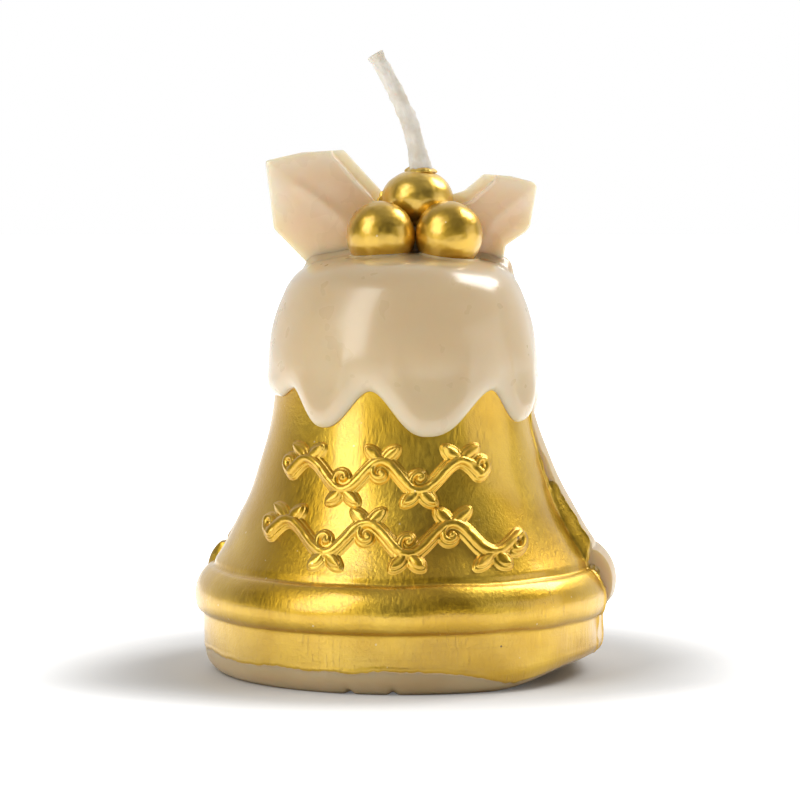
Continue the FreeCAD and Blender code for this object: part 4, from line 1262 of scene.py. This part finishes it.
@dataclass
class Wick:
    """Waxed cotton wick: its free end, and the gold pool where it leaves the top berry."""

    root_height: float = 66.9
    root_shift: float = 0.5
    root_lean: float = 3.0
    end_lean: float = 31.0
    sections: int = 150
    around: int = 72

    def __post_init__(self) -> None:
        """Take the bend, the end and the thickness from the frame."""
        joint = next(joint for joint in frame["joints"] if joint["name"] == "wick_bend")
        self.bend = np.array(joint["pos_m"]) / MM
        low, high = node_box("wick_tip")
        core = node_box("wick_core")
        self.radius = (core[1][0] - core[0][0]) / 2.0
        slant = math.radians(self.end_lean)
        self.end = np.array([low[0] + self.radius * math.cos(slant), self.bend[1],
                             high[2] - self.radius * math.sin(slant)])

    def _line(self) -> tuple[Array, Array]:
        """Middle line and its direction: a cubic from the root to the end with both leans."""
        start = np.array([self.bend[0] + self.root_shift, self.bend[1], self.root_height])
        lean = [math.radians(self.root_lean), math.radians(self.end_lean)]
        span = np.linalg.norm(self.end - start)
        first, last = (np.array([-math.sin(a), 0.0, math.cos(a)]) * span for a in lean)
        t = np.linspace(0.0, 1.0, self.sections)[:, None]
        line = ((2 * t ** 3 - 3 * t ** 2 + 1) * start + (t ** 3 - 2 * t ** 2 + t) * first
                + (3 * t ** 2 - 2 * t ** 3) * self.end + (t ** 3 - t ** 2) * last)
        run = np.gradient(line, axis=0)
        return line, run / np.linalg.norm(run, axis=1, keepdims=True)

    def build(self) -> bpy.types.Object:
        """Mesh of the free end: a lobed round section carried along the middle line."""
        line, run = self._line()
        length = np.concatenate([[0.0], np.cumsum(np.linalg.norm(np.diff(line, axis=0), axis=1))])
        turn = np.linspace(0.0, 2.0 * math.pi, self.around + 1)[None, :-1]
        deep = np.array([0.0, 1.0, 0.0])
        aside = np.cross(deep, run)
        share = (length / length[-1])[:, None]
        size = self.radius * (0.94 + 0.36 * hump(share, 0.16) - 0.10 * smoothstep(0.4, 0.9, share)
                              + 0.14 * smoothstep(0.93, 1.0, share))
        lobes = 1.0 + 0.035 * np.cos(3.0 * turn + length[:, None] * 0.9)
        lobes = lobes + 0.02 * np.cos(7.0 * turn - length[:, None] * 1.6)
        ring = size * lobes
        skin = (line[:, None, :] + aside[:, None, :] * (np.cos(turn) * ring)[..., None]
                + deep * (np.sin(turn) * ring)[..., None])
        skin = skin + (0.045 * waviness(skin, 1.1, 71) + 0.03 * waviness(skin, 3.0, 72))[..., None] * (
            skin - line[:, None, :])
        inner = [line[-1] + (skin[-1] - line[-1]) * scale + run[-1] * dip
                 for scale, dip in ((0.86, 0.12), (0.5, 0.05), (0.0, -0.06))]
        root = np.repeat(line[:1], self.around, axis=0)
        piece = make_lathe("wick_free_end", np.concatenate([root[None], skin, np.array(inner)]))
        values = np.broadcast_to(length[:, None], (self.sections, self.around))
        about = np.broadcast_to(turn * self.radius, (self.sections, self.around))
        for name, numbers in (("along", values), ("around", about)):
            body = np.concatenate([numbers, np.repeat(numbers[-1:], 2, axis=0)]).ravel()
            set_attribute(piece, name, np.concatenate([[0.0], body, [0.0]]))
        fit_out(piece, None, "waxed_cotton", WICK_COTTON, "wick_tip")
        below, above = self.bend.copy(), self.bend.copy()
        below[2] -= 0.9
        above[2] += 1.4
        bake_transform(piece)
        return piece

    def build_pool(self) -> bpy.types.Object:
        """Mesh of the gold pool: a ring with an uneven section and small burrs."""
        low, high = node_box("wick_collar")
        centre = np.array([*(low + high)[:2] / 2.0 + [0.8 * self.root_shift, 0.0], low[2] + 0.25])
        turn = np.linspace(0.0, 360.0, 141)[None, :-1]
        section = np.linspace(0.0, 2.0 * math.pi, 29)[:-1, None]
        guide = polar(turn, 2.0, 0.0)
        lumps = 1.0 + 0.22 * waviness(guide, 2.2, 81) + 0.10 * waviness(guide, 0.8, 82)
        radius = 1.55 + 0.62 * lumps * np.cos(section) + 0.10 * waviness(guide, 2.6, 83)
        height = 0.27 * lumps * np.sin(section) + 0.10 * waviness(guide, 1.5, 84)
        height = height - 0.25 * np.cos(section)
        points = polar(turn, radius, height) + centre
        count = len(section)
        faces = grid_faces(count, points.shape[1], True)
        last = (count - 1) * points.shape[1]
        around = np.arange(points.shape[1])
        after = (around + 1) % points.shape[1]
        seam = np.stack([last + around, last + after, after, around], axis=1)
        piece = make_object("wick_gold_pool", points.reshape(-1, 3), np.concatenate([faces, seam]))
        return fit_out(piece, "candle", "gold_berry", BERRY_GOLD, "wick_collar")


@dataclass
class PaintSmear:
    """Small gold smear on the left leaf beside the top berry."""

    centre: tuple[float, float, float] = (-2.9, 2.45, 64.0)
    half: tuple[float, float, float] = (0.62, 0.34, 0.95)

    def build(self) -> bpy.types.Object:
        """Mesh of the smear: a lumpy flattened ball pressed on the leaf."""
        fall = np.linspace(0.0, math.pi, 25)[:, None]
        around = np.linspace(0.0, 360.0, 41)[None, :-1]
        ball = polar(around, np.sin(fall), np.broadcast_to(np.cos(fall), (25, 40)))
        lumps = 1.0 + 0.18 * waviness(ball, 1.4, 91)
        shape = ball * lumps[..., None] * np.array(self.half)
        piece = make_lathe("gold_smear", shape + np.array(self.centre))
        return fit_out(piece, "candle", "gold_berry", BERRY_GOLD)


# ---------------------------------------------------------------- studio

@dataclass
class Softbox:
    """Rectangular studio light that faces the candle."""

    name: str
    azimuth: float
    elevation: float
    size: tuple[float, float]
    power: float
    distance: float = 0.9
    colour: tuple[float, float, float] = (1.0, 0.985, 0.96)

    def build(self, target: Array) -> None:
        """Hang the light at its direction from the target, turned to it."""
        light = bpy.data.lights.new(self.name, "AREA")
        light.shape = "RECTANGLE"
        light.size, light.size_y = self.size
        light.energy = self.power
        light.color = self.colour
        lift = math.radians(self.elevation)
        way = polar(np.array(self.azimuth), np.array(math.cos(lift)), np.array(math.sin(lift)))
        lamp = bpy.data.objects.new(self.name, light)
        lamp.location = target + way * self.distance
        lamp.rotation_euler = Vector(way).to_track_quat("Z", "Y").to_euler()
        bpy.context.scene.collection.objects.link(lamp)


@dataclass
class Studio:
    """Camera, softboxes, pale surroundings and white sweep."""

    camera_place: tuple[float, float, float] = (-0.00041, -0.400, 0.0617)
    camera_tilt: float = 86.41
    focal_length: float = 131.8
    softboxes: tuple[Softbox, ...] = (
        Softbox("left_softbox", -47.0, 33.0, (0.42, 0.80), 3.9),
        Softbox("right_rim_softbox", 118.0, 46.0, (0.40, 0.40), 4.0),
        Softbox("right_side_softbox", 80.0, 10.0, (0.60, 0.50), 1.1),
    )

    def build(self) -> None:
        """Set up the whole studio."""
        camera = bpy.data.objects.new("camera", bpy.data.cameras.new("camera"))
        camera.location = self.camera_place
        camera.rotation_euler = (math.radians(self.camera_tilt), 0.0, 0.0)
        camera.data.lens = self.focal_length
        camera.data.sensor_width = 36.0
        camera.data.clip_start = 0.01
        bpy.context.scene.collection.objects.link(camera)
        bpy.context.scene.camera = camera
        bpy.context.scene.view_settings.view_transform = "Standard"
        target = np.array([0.0, 0.0, 0.035])
        for softbox in self.softboxes:
            softbox.build(target)
        self._surroundings()
        self._sweep()

    def _surroundings(self) -> None:
        """White to the eye; to the surfaces, bright behind the candle and dim before it."""
        world = bpy.data.worlds.new("studio")
        world.use_nodes = True
        bpy.context.scene.world = world
        world.node_tree.nodes.clear()
        graph = Graph(world.node_tree)
        way = graph.node("SeparateXYZ", {0: graph.node("TexCoord").outputs["Generated"]})
        behind = graph.ramp(way.outputs["Y"], -0.02, 0.92, 0.045, 0.85)
        over = graph.ramp(way.outputs["Z"], 0.5, 1.0, 0.0, 0.2)
        seen = graph.node("Background", {"Color": (1, 1, 1, 1), "Strength": 1.0})
        lit = graph.node("Background", {"Color": (1.0, 0.99, 0.97, 1), "Strength":
                                        graph.math("ADD", behind, over)})
        eye = graph.node("LightPath").outputs["Is Camera Ray"]
        both = graph.node("MixShader", {0: eye, 1: lit.outputs[0], 2: seen.outputs[0]})
        graph.node("OutputWorld", {"Surface": both.outputs[0]})

    def _sweep(self) -> None:
        """White disc under the candle, lit by painted light: its glow is zero by the candle, where its
        shadows show, rises evenly away from the middle, and rises in front for the camera only.
        """
        turn = np.linspace(0.0, 360.0, 97)[None, :-1]
        radius = np.concatenate([[0.0], np.geomspace(20.0, 9000.0, 30)])[:, None]
        points = polar(turn, radius, 0.0)
        mesh = bpy.data.meshes.new("white_sweep")
        mesh.from_pydata((points.reshape(-1, 3) * MM).tolist(), [],
                         grid_faces(31, 96, True)[:, ::-1].tolist())
        sweep = bpy.data.objects.new("white_sweep", mesh)
        bpy.context.scene.collection.objects.link(sweep)
        material = bpy.data.materials.new("white_sweep")
        material.use_nodes = True
        material.node_tree.nodes.clear()
        graph = Graph(material.node_tree)
        place = graph.node("VectorMath", {0: graph.place()}, operation="LENGTH")
        depth = graph.node("SeparateXYZ", {0: graph.place()}).outputs["Y"]
        # Painted light: the floor glows more away from the candle and, for the camera only, in front of it.
        far = graph.ramp(place.outputs["Value"], 0.032, 0.066, 0.0, 0.9)
        near = graph.ramp(depth, -0.012, -0.045, 0.0, 0.45)
        eye = graph.node("LightPath").outputs["Is Camera Ray"]
        painted_floor_light = graph.math("ADD", far, graph.math("MULTIPLY", near, eye))
        soft = graph.node("BsdfPrincipled", {"Base Color": (0.74, 0.75, 0.765, 1), "Roughness": 0.6,
                                             "Emission Color": (1, 1, 1, 1),
                                             "Emission Strength": painted_floor_light})
        graph.node("OutputMaterial", {"Surface": soft.outputs[0]})
        mesh.materials.append(material)


def dress_cad_nodes() -> None:
    """Give the CAD nodes that stay on show their materials."""
    for node, finish in (("base_plug", IVORY_WAX), ("wick_sustainer", TINNED_SHEET),
                         ("wick_core", WICK_COTTON)):
        slots = frame["nodes"][node].data.materials
        for number in range(max(1, len(slots))):
            if len(slots):
                slots[number] = finish.material()
            else:
                slots.append(finish.material())
        log.info("%s keeps its CAD shape in %s", node, finish.name)


def main() -> None:
    """Build every part of the candle and its studio, in order."""
    logging.basicConfig(level=logging.INFO, format="%(message)s")
    Studio().build()
    casting = Casting()
    coat = GoldCoat(casting)
    casting.build()
    coat.build()
    VineRelief(casting, coat.film, "vine_upper", 27.8, 5.0, 5, -0.8).build()
    VineRelief(casting, coat.film, "vine_lower", 19.8, 5.4, 6, 0.4).build()
    berries = [Berry("berry_left", 56.6, 11, plump=1.035), Berry("berry_right", 56.6, 13)]
    top_berry = Berry("berry_top", 60.0, 15, flatten=4.0 / 4.85)
    SnowCap(casting).build(LEAVES, berries)
    for piece in (*LEAVES, *berries, top_berry, PaintSmear()):
        piece.build()
    wick = Wick()
    wick.build()
    wick.build_pool()
    dress_cad_nodes()


if __name__ == "__main__":
    main()
